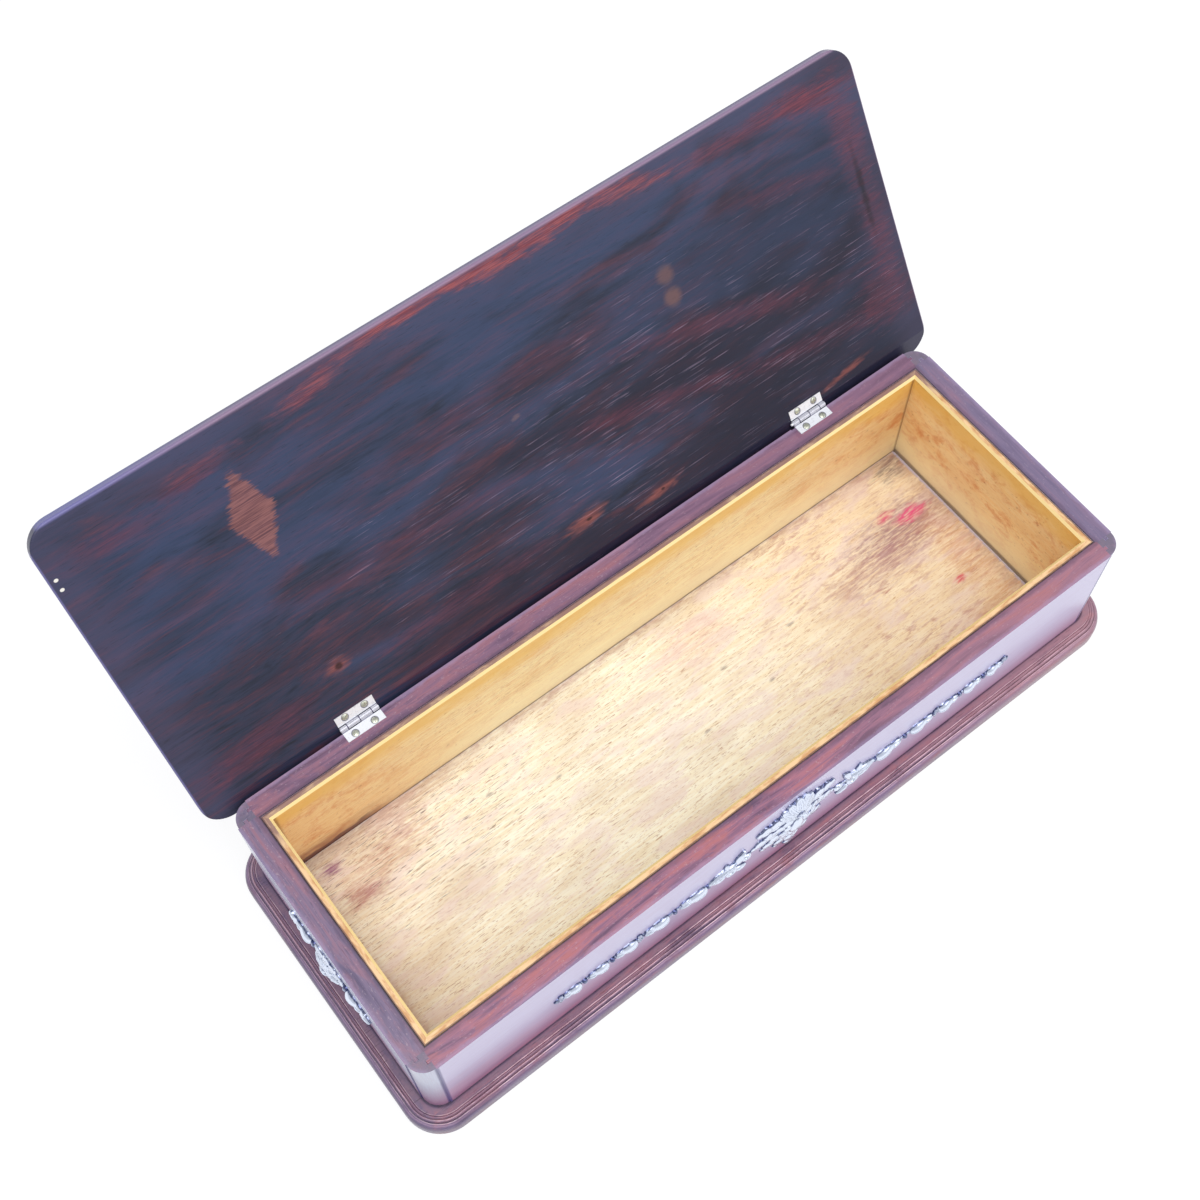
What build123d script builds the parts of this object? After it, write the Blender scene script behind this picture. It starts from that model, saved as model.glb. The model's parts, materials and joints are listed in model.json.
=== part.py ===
from build123d import *
import math
import os

# A long, low rosewood box with quarter-round corner posts, a moulded base board, pale inner linings,
# a thin lid on two butt hinges, and cast silver mounts on the front and on both ends.
# Millimetres. The origin is the centre of the base board's underside.
# X runs along the front to the right, Y to the back and Z up.
# The lid is drawn closed and then turned open about the hinge axis.

# Case
case_length = 384.0
case_width = 138.0
wall_height = 66.0
wall_thickness = 10.0
wall_mitre = 1.2
post_step = 0.4
tongue_thickness = 1.6
tongue_length = 1.6
joint_clearance = 0.1

# Base board and its edge moulding, counted outwards from the wall faces
board_thickness = 12.0
shelf_width = 3.9
quirk_depth = 0.7
outer_bead_width = 1.4
inner_bead_width = 1.3
nose_quirk = 0.4
nose_rise = 0.4
nose_width = 2.3
nose_drop = 4.3
foot_ease = 0.8

# Linings and floor panel
lining_thickness = 3.4
lining_chamfer = 1.1
lining_seam = 0.2
floor_thickness = 2.5
floor_clearance = 0.2
floor_end_gap = 1.5

# Lid
lid_overhang = 8.1
lid_thickness = 6.0
lid_corner_radius = 12.0
lid_top_rounding = 1.6
lid_under_rounding = 0.9
lid_gap = 1.1
bevel_depth = 2.4
bevel_start = 2.5
open_angle = 123.5

# Hinges
hinge_inset = 66.7
leaf_length = 19.0
leaf_reach = 6.25
leaf_thickness = 0.8
barrel_radius = 1.3
barrel_standoff = 1.5
end_knuckle = 3.3
knuckle_gap = 0.13
knuckle_clearance = 0.25
pin_radius = 0.65
pin_fit = 0.01
pin_running_clearance = 0.04
pin_head = 0.2
right_pin_stand_out = 1.2
mortise_depth = 0.8
mortise_clearance = 0.1
chip_length = 2.4
chip_depth = 1.1
chip_width = 6.0

# Screws
leaf_screw_head_radius = 1.55
leaf_screw_dome = 0.35
leaf_screw_shank_radius = 0.8
leaf_screw_spacing = 9.8
leaf_screw_setback = 4.3
box_screw_length = 9.0
lid_screw_length = 4.8
board_screw_head_radius = 3.5
board_screw_shank_radius = 1.75
board_screw_length = 25.0
board_screw_recess = 0.3
board_screw_pitch = 150.0
board_screws_a_side = 3
screw_clearance = 0.05
leaf_screw_twists = (35.0, 75.0)
slot_width = 0.35
slot_depth = 0.3

# Silver mounts: places along a mount from its middle, and for husks their lengths too
mount_drop = 33.0
chain_stem_radius = 1.4
chain_stem_sink = 0.3
bead_radius = 2.0
bead_sink = 0.4
husk_radius = 5.4
husk_sink = 1.7
husk_body_share = 0.8
petal_share = 0.5
petal_radius = 2.2
petal_sink = 0.4
petal_spread = 30.0
sprig_length = 6.0
sprig_radius = 1.5
sprig_spread = 75.0
garland_husks = ((56.0, 14.0), (76.2, 12.4), (92.8, 11.0), (107.8, 10.2), (122.0, 9.4))
garland_beads = (47.4, 66.4, 100.4, 115.4)
garland_sprigs = (84.0, 127.0)
scroll_place = 38.5
scroll_length = 16.0
scroll_radius = 5.6
scroll_sink = 2.2
scroll_tilt = -8.0
scroll_tip_length = 9.0
scroll_tip_turns = (62.0, -48.0, 180.0)
scroll_eye_offset = 4.0
scroll_eye_radius = 0.9
scroll_slot_offset = (-4.0, -1.9)
scroll_slot_turn = 50.0
scroll_slot_radii = (1.9, 0.9)
leaf_radius = 2.9
leaf_sink = 0.8
leaf_start = 2.0
cluster_length = 48.0
cluster_height = 56.0
cluster_boss_radius = 3.6
cluster_drop_radius = 5.2
cluster_drop_stretch = 1.5
fan_place_share = 0.2
fan_step = 33.0
fan_taper = 1.0
spray_step = 26.0
spray_taper = 3.0
side_leaf_turns = (-10.0, 14.0, 40.0)
end_husks = ((18.0, 12.0),)
end_beads = (11.0,)
end_sprigs = (24.5,)
end_cluster_length = 20.0
end_cluster_height = 30.0
prong_radius = 0.8
prong_length = 4.0
garland_prongs = (0.0, 64.0, 119.0)
end_prongs = (0.0, 19.0)

# Derived places
half_length = case_length / 2
half_width = case_width / 2
post_size = wall_thickness - wall_mitre
post_radius = post_size - post_step
rim_level = board_thickness + wall_height
bead_start = shelf_width
bead_end = bead_start + inner_bead_width + outer_bead_width
nose_start = bead_end + nose_quirk
board_overhang = nose_start + nose_width
tongue_centre = post_size / 2
lining_half_length = half_length - wall_thickness - lining_seam
lining_half_width = half_width - wall_thickness - lining_seam
hinge_offset = half_length - hinge_inset
hinge_y = half_width + barrel_standoff
hinge_z = rim_level - mortise_depth + barrel_radius
lid_under = rim_level + lid_gap
lid_half_length = half_length + lid_overhang
lid_half_width = half_width + lid_overhang
centre_knuckle = (leaf_length - 2 * end_knuckle - 3 * knuckle_gap) / 2
mount_level = rim_level - mount_drop
hinge_axis = Axis((0, hinge_y, hinge_z), (1, 0, 0))


def prism(points, bottom, height):
    """Upright prism over a plan outline."""
    return extrude(Pos(0, 0, bottom) * make_face(Polyline(*points, close=True)), amount=height)


def block(low, high):
    """Box between two opposite corners."""
    size = [b - a for a, b in zip(low, high)]
    centre = [(a + b) / 2 for a, b in zip(low, high)]
    return Pos(*centre) * Box(*size)


def rod(start, direction, radius, length):
    """Cylinder from a point along a direction."""
    return Plane(origin=start, z_dir=direction) * Cylinder(
        radius, length, align=(Align.CENTER, Align.CENTER, Align.MIN)
    )


# Base board


def moulding_section():
    """Half section of the base board, X outwards from the centre of a corner post, Y up."""
    face = post_size
    bead_foot = board_thickness - quirk_depth
    bead_low = bead_foot - quirk_depth
    step = bead_start + inner_bead_width
    nose_top = bead_low - nose_rise
    quirk_floor = nose_top - nose_rise
    nose_foot = nose_top - nose_drop
    edges = [
        Line((0, 0), (0, board_thickness)),
        Line((0, board_thickness), (face + bead_start, board_thickness)),
        Line((face + bead_start, board_thickness), (face + bead_start, bead_foot)),
        ThreePointArc(
            (face + bead_start, bead_foot),
            (face + bead_start + inner_bead_width / 2, bead_foot + inner_bead_width / 2),
            (face + step, bead_foot),
        ),
        Line((face + step, bead_foot), (face + step, bead_low)),
        ThreePointArc(
            (face + step, bead_low),
            (face + step + outer_bead_width / 2, bead_low + outer_bead_width / 2),
            (face + bead_end, bead_low),
        ),
        Line((face + bead_end, bead_low), (face + bead_end, quirk_floor)),
        Line((face + bead_end, quirk_floor), (face + nose_start, quirk_floor)),
        Line((face + nose_start, quirk_floor), (face + nose_start, nose_top)),
        EllipticalCenterArc((face + nose_start, nose_foot), nose_width, nose_drop, arc_size=90),
        Line((face + board_overhang, nose_foot), (face + board_overhang, foot_ease)),
        ThreePointArc(
            (face + board_overhang, foot_ease),
            (
                face + board_overhang - foot_ease * (1 - math.sqrt(0.5)),
                foot_ease * (1 - math.sqrt(0.5)),
            ),
            (face + board_overhang - foot_ease, 0),
        ),
        Line((face + board_overhang - foot_ease, 0), (0, 0)),
    ]
    return make_face(Wire([e.edge() for e in edges]))


def board_screw_places():
    first = -board_screw_pitch * (board_screws_a_side - 1) / 2
    for side in (-1, 1):
        for i in range(board_screws_a_side):
            yield first + i * board_screw_pitch, side * (half_width - wall_thickness / 2)


def base_board():
    run_x = half_length - post_size
    run_y = half_width - post_size
    section = moulding_section()
    board = block((-run_x, -run_y, 0), (run_x, run_y, board_thickness))
    for side in (0, 180):
        front = Plane(origin=(run_x, -run_y, 0), x_dir=(0, -1, 0), z_dir=(-1, 0, 0))
        board += Rot(0, 0, side) * extrude(front * section, amount=2 * run_x)
        left = Plane(origin=(-run_x, -run_y, 0), x_dir=(-1, 0, 0), z_dir=(0, 1, 0))
        board += Rot(0, 0, side) * extrude(left * section, amount=2 * run_y)
    corner = revolve(Plane.XZ * section, axis=Axis.Z, revolution_arc=90)
    for sx, sy, turn in ((1, 1, 0), (-1, 1, 90), (-1, -1, 180), (1, -1, 270)):
        board += Pos(sx * run_x, sy * run_y, 0) * Rot(0, 0, turn) * corner
    for x, y in board_screw_places():
        board -= Pos(x, y, 0) * countersink(
            board_screw_head_radius, board_screw_shank_radius, board_screw_recess, board_thickness
        )
    return board


def countersink(head_radius, shank_radius, recess, depth):
    """Countersunk hole opening downwards at Z 0 and running up through the given depth."""
    head = head_radius + screw_clearance
    shank = shank_radius + screw_clearance
    cone = head_radius - shank_radius
    points = [(0, 0), (head, 0)]
    if recess > 0:
        points.append((head, recess))
    points += [(shank, recess + cone), (shank, depth), (0, depth)]
    return revolve(Plane.XZ * make_face(Polyline(*points, close=True)), axis=Axis.Z)


# Walls and corner posts


# Half the width of the case across a wall, by the length of the case along it
half_width_of = {case_length: half_width, case_width: half_length}


def end_tongue(length):
    """Tongue on both ends of a wall that lies along X at negative Y."""
    outer = half_width_of[length] - tongue_centre - tongue_thickness / 2
    reach = length / 2 - post_size + tongue_length
    return block(
        (-reach, -outer - tongue_thickness, board_thickness), (reach, -outer, rim_level)
    )


def wall(length):
    """Wall at negative Y over a case side of the given length, with its tongues and short mitres."""
    half = length / 2
    face = half_width_of[length]
    outline = [
        (-half + post_size, -face),
        (half - post_size, -face),
        (half - post_size, -face + post_size),
        (half - wall_thickness, -face + wall_thickness),
        (-half + wall_thickness, -face + wall_thickness),
        (-half + post_size, -face + post_size),
    ]
    return prism(outline, board_thickness, wall_height) + end_tongue(length)


def board_screw_pilot(wall_solid, back):
    """Wall with the holes for the screws that come up through the base board."""
    for x, y in board_screw_places():
        if (y > 0) == back:
            depth = board_screw_recess + board_screw_length + joint_clearance - board_thickness
            wall_solid -= rod(
                (x, y, board_thickness), (0, 0, 1), board_screw_shank_radius + screw_clearance, depth
            )
    return wall_solid


def front_wall():
    solid = board_screw_pilot(wall(case_length), False)
    for place in both_sides(garland_prongs):
        solid -= rod(
            (place, -half_width, mount_level),
            (0, 1, 0),
            prong_radius + screw_clearance,
            prong_length + joint_clearance,
        )
    return solid


def hinge_places():
    return (("left", -hinge_offset), ("right", hinge_offset))


def leaf_screw_xs():
    return (-leaf_screw_spacing / 2, leaf_screw_spacing / 2)


def back_wall():
    solid = board_screw_pilot(Rot(0, 0, 180) * wall(case_length), True)
    for name, x in hinge_places():
        reach = hinge_y - leaf_reach - mortise_clearance
        side = leaf_length / 2 + mortise_clearance
        bottom = rim_level - mortise_depth
        solid -= block((x - side, reach, bottom), (x + side, half_width, rim_level))
        for dx in leaf_screw_xs():
            solid -= rod(
                (x + dx, hinge_y - leaf_screw_setback, bottom),
                (0, 0, -1),
                leaf_screw_shank_radius + screw_clearance,
                box_screw_length - leaf_thickness + joint_clearance,
            )
        if name == "right":
            solid -= broken_corner(x - side)
    return solid


def broken_corner(x):
    """Chip broken out of the rim beside a mortise, deepest at the back and running out forwards."""
    wedge = Polyline(
        (half_width, rim_level),
        (half_width, rim_level - chip_depth),
        (half_width - chip_width, rim_level),
        close=True,
    )
    section = Plane(origin=(x - chip_length, 0, 0), x_dir=(0, 1, 0), z_dir=(1, 0, 0)) * make_face(wedge)
    return extrude(section, amount=chip_length)


def end_wall(turn):
    solid = wall(case_width)
    for place in both_sides(end_prongs):
        solid -= rod(
            (place, -half_length, mount_level),
            (0, 1, 0),
            prong_radius + screw_clearance,
            prong_length + joint_clearance,
        )
    return Rot(0, 0, turn) * solid


def corner_post():
    """Quarter-round post at the corner at positive X and Y."""
    x = half_length - post_size
    y = half_width - post_size
    post = Cylinder(
        post_radius, wall_height, arc_size=90, align=(Align.NONE, Align.NONE, Align.MIN)
    )
    post = Pos(x, y, board_thickness) * post
    deep = tongue_length + joint_clearance
    half = tongue_thickness / 2 + joint_clearance
    centre_x = half_length - tongue_centre
    centre_y = half_width - tongue_centre
    post -= block((x, centre_y - half, board_thickness), (x + deep, centre_y + half, rim_level))
    post -= block((centre_x - half, y, board_thickness), (centre_x + half, y + deep, rim_level))
    return post


# Linings and floor panel


def lining(half, face):
    """Mitred lining strip at negative Y, with its upper inner edge chamfered."""
    inner = face - lining_thickness
    outline = [
        (-half, -face),
        (half, -face),
        (half - lining_thickness, -inner),
        (-half + lining_thickness, -inner),
    ]
    strip = prism(outline, board_thickness, wall_height)
    top = strip.edges().filter_by(Axis.X).group_by(Axis.Z)[-1].sort_by(Axis.Y)[-1]
    return chamfer(top, lining_chamfer)


def floor_panel():
    x = lining_half_length - lining_thickness
    y = lining_half_width - lining_thickness - floor_clearance
    top = board_thickness + floor_thickness
    return block((-x + floor_clearance, -y, board_thickness), (x - floor_end_gap, y, top))


# Lid


def lid_panel():
    lid = extrude(
        Pos(0, 0, lid_under) * RectangleRounded(2 * lid_half_length, 2 * lid_half_width, lid_corner_radius),
        amount=lid_thickness,
    )
    lid = fillet(lid.edges().group_by(Axis.Z)[-1], lid_top_rounding)
    lid = fillet(lid.edges().group_by(Axis.Z)[0], lid_under_rounding)
    lid -= lid_bevel()
    for name, x in hinge_places():
        side = leaf_length / 2 + mortise_clearance
        front = hinge_y - leaf_reach - mortise_clearance
        leaf_seat = hinge_z + barrel_radius
        lid -= block((x - side, front, lid_under), (x + side, lid_half_width, leaf_seat))
        channel_front = hinge_y - barrel_radius - knuckle_clearance
        channel_top = leaf_seat + knuckle_clearance
        lid -= block((x - side, channel_front, lid_under), (x + side, lid_half_width, channel_top))
        for dx in leaf_screw_xs():
            lid -= rod(
                (x + dx, hinge_y - leaf_screw_setback, leaf_seat),
                (0, 0, 1),
                leaf_screw_shank_radius + screw_clearance,
                lid_screw_length - leaf_thickness + joint_clearance,
            )
    return lid


def lid_bevel():
    """Wedge that is planed off the underside along the hinged edge."""
    start = hinge_y - bevel_start
    wedge = Polyline(
        (start, lid_under),
        (lid_half_width, lid_under + bevel_depth),
        (lid_half_width, lid_under),
        close=True,
    )
    section = Plane(origin=(-lid_half_length, 0, 0), x_dir=(0, 1, 0), z_dir=(1, 0, 0)) * make_face(wedge)
    return extrude(section, amount=2 * lid_half_length)


# Hinges, drawn with the axis along X at the origin, from the left end of the leaves


def knuckle_spans():
    """Start and end of each knuckle, from the left, with True for those of the box leaf."""
    spans = []
    start = 0.0
    for index, length in enumerate((end_knuckle, centre_knuckle, centre_knuckle, end_knuckle)):
        spans.append((start, start + length, index % 2 == 0))
        start += length + knuckle_gap
    return spans


def hinge_leaf(on_box):
    """Leaf with its knuckles. The box leaf lies below the axis, the lid leaf above it when closed."""
    low = -barrel_radius
    leaf = block((0, -leaf_reach, low), (leaf_length, 0, low + leaf_thickness))
    clear = barrel_radius + knuckle_clearance
    for start, end, of_box in knuckle_spans():
        if of_box != on_box:
            leaf -= block(
                (start - knuckle_gap, -clear, low), (end + knuckle_gap, clear, low + leaf_thickness)
            )
    for start, end, of_box in knuckle_spans():
        if of_box == on_box:
            leaf += rod((start, 0, 0), (1, 0, 0), barrel_radius, end - start)
    fit = pin_fit if on_box else pin_running_clearance
    leaf -= rod((-knuckle_gap, 0, 0), (1, 0, 0), pin_radius + fit, leaf_length + 2 * knuckle_gap)
    for dx in leaf_screw_xs():
        hole = countersink(leaf_screw_head_radius, leaf_screw_shank_radius, 0, leaf_thickness)
        leaf -= Pos(leaf_length / 2 + dx, -leaf_screw_setback, low + leaf_thickness) * Rot(180, 0, 0) * hole
    if on_box:
        return leaf
    return mirror(leaf, about=Plane.XY)


def hinge_pin(stand_out):
    pin = rod((-stand_out, 0, 0), (1, 0, 0), pin_radius, stand_out + leaf_length + pin_head)
    return chamfer(pin.edges().filter_by(GeomType.CIRCLE), pin_head)


def screw(head_radius, dome, shank_radius, length):
    """Slotted countersunk screw pointing down, its head's edge at Z 0."""
    cone = head_radius - shank_radius
    tip = length - 2 * shank_radius
    edges = [
        Line((head_radius, 0), (shank_radius, -cone)),
        Line((shank_radius, -cone), (shank_radius, -tip)),
        Line((shank_radius, -tip), (0, -length)),
    ]
    if dome > 0:
        crown = (head_radius**2 + dome**2) / (2 * dome)
        half = head_radius / 2
        rise = math.sqrt(crown**2 - half**2) - (crown - dome)
        edges.append(ThreePointArc((0, dome), (half, rise), (head_radius, 0)))
    else:
        edges.append(Line((0, 0), (head_radius, 0)))
    edges.append(Line((0, -length), (0, dome)))
    solid = revolve(Plane.XZ * make_face(Wire([e.edge() for e in edges])), axis=Axis.Z)
    slot = block((-head_radius, -slot_width / 2, dome - slot_depth), (head_radius, slot_width / 2, dome))
    return solid - slot


def leaf_screws(x, on_box):
    """Both screws of one leaf. The lid's screws point up when the lid is closed."""
    length = box_screw_length if on_box else lid_screw_length
    level = hinge_z + (leaf_thickness - barrel_radius) * (1 if on_box else -1)
    turn = 0 if on_box else 180
    screws = []
    for dx, twist in zip(leaf_screw_xs(), leaf_screw_twists):
        one = screw(leaf_screw_head_radius, leaf_screw_dome, leaf_screw_shank_radius, length)
        screws.append(
            Pos(x + dx, hinge_y - leaf_screw_setback, level) * Rot(turn, 0, 0) * Rot(0, 0, twist) * one
        )
    return Compound(children=screws)


def board_screws():
    screws = []
    for x, y in board_screw_places():
        one = screw(board_screw_head_radius, 0, board_screw_shank_radius, board_screw_length)
        screws.append(Pos(x, y, board_screw_recess) * Rot(180, 0, 0) * one)
    return Compound(children=screws)


# Silver mounts, drawn lying on XY with the relief along Z and then set on a wall face


def both_sides(places):
    """Each place on both sides of the middle, with the middle itself only once."""
    return sorted({side * place for place in places for side in (-1, 1)})


def lobe(u, v, angle, length, radius, sink, start=0.0):
    """Pointed leaf: a spindle that starts at a distance from (u, v), sunk so that its back is cut off."""
    arc = ThreePointArc((start, 0), (start + length / 2, radius), (start + length, 0))
    profile = make_face(Wire([arc.edge(), Line((start + length, 0), (start, 0)).edge()]))
    return Pos(u, v, -sink) * Rot(0, 0, angle) * revolve(profile, axis=Axis.X)


def egg(u, v, angle, length, radius, sink):
    """Rounded body: an ellipsoid along the given angle, sunk in the wall face."""
    arc = EllipticalCenterArc((0, 0), length / 2, radius, arc_size=180)
    profile = make_face(Wire([arc.edge(), Line((-length / 2, 0), (length / 2, 0)).edge()]))
    return Pos(u, v, -sink) * Rot(0, 0, angle) * revolve(profile, axis=Axis.X)


def husk(u, length):
    """Bell-flower on the right-hand side: round at the inner end, three petals at the outer end."""
    body_length = length * husk_body_share
    parts = [egg(u - (length - body_length) / 2, 0, 0, body_length, husk_radius, husk_sink)]
    for angle in (-petal_spread, 0, petal_spread):
        parts.append(lobe(u, 0, angle, length * petal_share, petal_radius, petal_sink))
    return parts


def sprig(u):
    """Small three-lobed leaf between two lengths of the chain."""
    turns = (-sprig_spread, 0, sprig_spread)
    return [lobe(u, 0, turn, sprig_length, sprig_radius, petal_sink) for turn in turns]


def scroll_leaf():
    """Scrolling leaf beside the middle cluster of the garland, before its two piercings."""
    inner = scroll_place - scroll_length / 2
    parts = [egg(scroll_place, 0, scroll_tilt, scroll_length, scroll_radius, scroll_sink)]
    for turn in scroll_tip_turns:
        parts.append(lobe(inner, 0, turn, scroll_tip_length, leaf_radius, leaf_sink))
    return parts


def scroll_piercings():
    u, v = scroll_slot_offset
    return [
        Pos(scroll_place + u, v, 0) * Rot(0, 0, scroll_slot_turn) * Ellipse(*scroll_slot_radii),
        Pos(scroll_place + scroll_eye_offset, 0, 0) * Circle(scroll_eye_radius),
    ]


def cluster(length, height):
    """Middle cluster: ribbed fan above, drop in the middle, leaf sprays to the sides and below."""
    fan_v = fan_place_share * height
    fan_length = height / 2 - fan_v - leaf_start
    spray_length = height / 2 - leaf_start
    side_length = length / 2 - leaf_start
    boss_length = 2 * cluster_boss_radius
    drop_length = 2 * cluster_drop_radius * cluster_drop_stretch
    parts = [
        egg(0, fan_v, 90, boss_length, cluster_boss_radius, leaf_sink),
        egg(0, -cluster_drop_radius, 90, drop_length, cluster_drop_radius, leaf_sink),
        lobe(0, -leaf_start, 90, fan_v + 2 * leaf_start, leaf_radius, leaf_sink),
    ]
    for step in (-2, -1, 0, 1, 2):
        up = fan_length - fan_taper * abs(step)
        down = spray_length - spray_taper * abs(step)
        parts.append(lobe(0, fan_v, 90 + fan_step * step, up, leaf_radius, leaf_sink, leaf_start))
        parts.append(lobe(0, 0, -90 + spray_step * step, down, leaf_radius, leaf_sink, leaf_start))
    for tilt in side_leaf_turns:
        for turn in (tilt, 180 - tilt):
            parts.append(lobe(0, 0, turn, side_length, leaf_radius, leaf_sink, leaf_start))
    return parts


def flat_backed(parts, reach):
    """All parts joined and cut flat at the wall face."""
    return (parts[0] + parts[1:]) - block((-reach, -reach, -reach), (reach, reach, 0))


def casting(right, middle, prongs, reach, piercings):
    """Whole mount: the right-hand chain, its mirror image, the middle cluster and the prongs."""
    stem = rod((0, 0, -chain_stem_sink), (1, 0, 0), chain_stem_radius, reach)
    half = flat_backed([stem] + right, case_length)
    for hole in piercings:
        half -= extrude(hole, amount=case_width)
    whole = half + mirror(half, about=Plane.YZ) + flat_backed(middle, case_length)
    for place in both_sides(prongs):
        whole += rod((place, 0, 0), (0, 0, -1), prong_radius, prong_length)
    return whole


def front_garland():
    right = scroll_leaf()
    for place, length in garland_husks:
        right += husk(place, length)
    for place in garland_beads:
        right.append(Pos(place, 0, -bead_sink) * Sphere(bead_radius))
    for place in garland_sprigs:
        right += sprig(place)
    middle = cluster(cluster_length, cluster_height)
    garland = casting(right, middle, garland_prongs, garland_sprigs[-1], scroll_piercings())
    return Plane(origin=(0, -half_width, mount_level), x_dir=(1, 0, 0), z_dir=(0, -1, 0)) * garland


def end_mounts():
    """The left and the right end mount."""
    right = []
    for place, length in end_husks:
        right += husk(place, length)
    for place in end_beads:
        right.append(Pos(place, 0, -bead_sink) * Sphere(bead_radius))
    for place in end_sprigs:
        right += sprig(place)
    middle = cluster(end_cluster_length, end_cluster_height)
    flat = casting(right, middle, end_prongs, end_sprigs[-1], [])
    return [
        Plane(origin=(side * half_length, 0, mount_level), x_dir=(0, side, 0), z_dir=(side, 0, 0)) * flat
        for side in (-1, 1)
    ]


def opened(solid):
    """The solid turned with the lid from closed to its open rest pose."""
    return solid.rotate(hinge_axis, -open_angle)


def all_nodes():
    nodes = {
        "base_board": base_board(),
        "base_screws": board_screws(),
        "front_wall": front_wall(),
        "back_wall": back_wall(),
        "left_wall": end_wall(-90),
        "right_wall": end_wall(90),
        "floor_panel": floor_panel(),
        "lid_panel": opened(lid_panel()),
        "front_garland": front_garland(),
    }
    nodes["left_end_mount"], nodes["right_end_mount"] = end_mounts()
    post = corner_post()
    nodes["corner_post_back_right"] = post
    nodes["corner_post_back_left"] = mirror(post, about=Plane.YZ)
    nodes["corner_post_front_right"] = mirror(post, about=Plane.XZ)
    nodes["corner_post_front_left"] = Rot(0, 0, 180) * post
    nodes["lining_front"] = lining(lining_half_length, lining_half_width)
    nodes["lining_back"] = Rot(0, 0, 180) * lining(lining_half_length, lining_half_width)
    nodes["lining_left"] = Rot(0, 0, -90) * lining(lining_half_width, lining_half_length)
    nodes["lining_right"] = Rot(0, 0, 90) * lining(lining_half_width, lining_half_length)
    for name, x in hinge_places():
        place = Pos(x - leaf_length / 2, hinge_y, hinge_z)
        stand_out = right_pin_stand_out if name == "right" else pin_head
        nodes[f"hinge_{name}_box_leaf"] = place * hinge_leaf(True)
        nodes[f"hinge_{name}_lid_leaf"] = opened(place * hinge_leaf(False))
        nodes[f"hinge_{name}_pin"] = place * hinge_pin(stand_out)
        nodes[f"hinge_{name}_box_screws"] = leaf_screws(x, True)
        nodes[f"hinge_{name}_lid_screws"] = opened(leaf_screws(x, False))
    return nodes


os.makedirs("parts", exist_ok=True)
for node, solid in all_nodes().items():
    export_step(solid, f"parts/{node}.step")
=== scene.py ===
import json
import math

import bpy
import numpy as np
from mathutils import Matrix, Vector


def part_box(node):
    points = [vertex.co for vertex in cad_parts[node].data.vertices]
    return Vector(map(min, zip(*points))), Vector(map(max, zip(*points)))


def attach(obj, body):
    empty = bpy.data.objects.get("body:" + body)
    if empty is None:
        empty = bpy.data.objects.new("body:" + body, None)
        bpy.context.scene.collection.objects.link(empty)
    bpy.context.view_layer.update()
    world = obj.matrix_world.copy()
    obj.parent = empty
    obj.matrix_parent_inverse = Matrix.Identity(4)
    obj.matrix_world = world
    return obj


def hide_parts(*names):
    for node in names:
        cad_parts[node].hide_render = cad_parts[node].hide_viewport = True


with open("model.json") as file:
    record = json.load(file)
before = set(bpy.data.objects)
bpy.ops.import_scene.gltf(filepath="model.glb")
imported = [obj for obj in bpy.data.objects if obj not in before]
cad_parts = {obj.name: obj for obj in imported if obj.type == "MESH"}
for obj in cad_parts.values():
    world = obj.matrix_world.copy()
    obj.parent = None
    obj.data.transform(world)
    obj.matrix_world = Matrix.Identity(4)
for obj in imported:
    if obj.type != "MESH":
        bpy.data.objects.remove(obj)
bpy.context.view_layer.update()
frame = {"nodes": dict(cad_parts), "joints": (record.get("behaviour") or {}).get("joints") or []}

# Places are in metres in the row frame unless a name ends in MM or a comment says otherwise.
MM = 0.001
nodes = frame["nodes"]
joint = frame["joints"][0]
hinge_point = Vector(joint["pos_m"])
open_angle = math.radians(joint["range_deg"][1])

# Case in plan: half its size, the size and the centre of its corner posts, and the thickness of its walls
CASE_HALF_MM = (192, 69, 0)
POST_SIZE_MM = 8.8
POST_CENTRE_MM = (CASE_HALF_MM[0] - POST_SIZE_MM, CASE_HALF_MM[1] - POST_SIZE_MM, 0)
WALL_MM = 10.0

# Heights of the tops of the base board and of the floor panel
BOARD_TOP_MM = 12.0
FLOOR_TOP_MM = 14.5

# Camera, solved from the photograph's edges
CAMERA_PLACE = (-0.21271, -0.21717, 0.74310)
CAMERA_AZIMUTH = math.radians(-38.545)
CAMERA_ELEVATION = math.radians(62.874)
CAMERA_ROLL = math.radians(0.731)
SENSOR = 36.0
PICTURE = 1200
FOCAL_PIXELS = 1699.6
PICTURE_CENTRE = (623.14, 593.47)


def add_object(name, data):
    made = bpy.data.objects.new(name, data)
    bpy.context.scene.collection.objects.link(made)
    return made


def add_camera():
    cos_e = math.cos(CAMERA_ELEVATION)
    towards = Vector((
        math.sin(CAMERA_AZIMUTH) * cos_e,
        -math.cos(CAMERA_AZIMUTH) * cos_e,
        math.sin(CAMERA_ELEVATION),
    ))
    right = (-towards).cross(Vector((0, 0, 1))).normalized()
    up = right.cross(-towards)
    c, s = math.cos(CAMERA_ROLL), math.sin(CAMERA_ROLL)
    right, up = c * right + s * up, c * up - s * right
    data = bpy.data.cameras.new("camera")
    data.sensor_width = SENSOR
    data.lens = FOCAL_PIXELS * SENSOR / PICTURE
    data.shift_x = (PICTURE / 2 - PICTURE_CENTRE[0]) / PICTURE
    data.shift_y = (PICTURE_CENTRE[1] - PICTURE / 2) / PICTURE
    data.clip_start = 0.01
    camera = add_object("camera", data)
    turn = Matrix((right, up, towards)).transposed().to_4x4()
    camera.matrix_world = Matrix.Translation(CAMERA_PLACE) @ turn
    bpy.context.scene.camera = camera


add_camera()
bpy.context.scene.view_settings.view_transform = "Standard"


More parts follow.
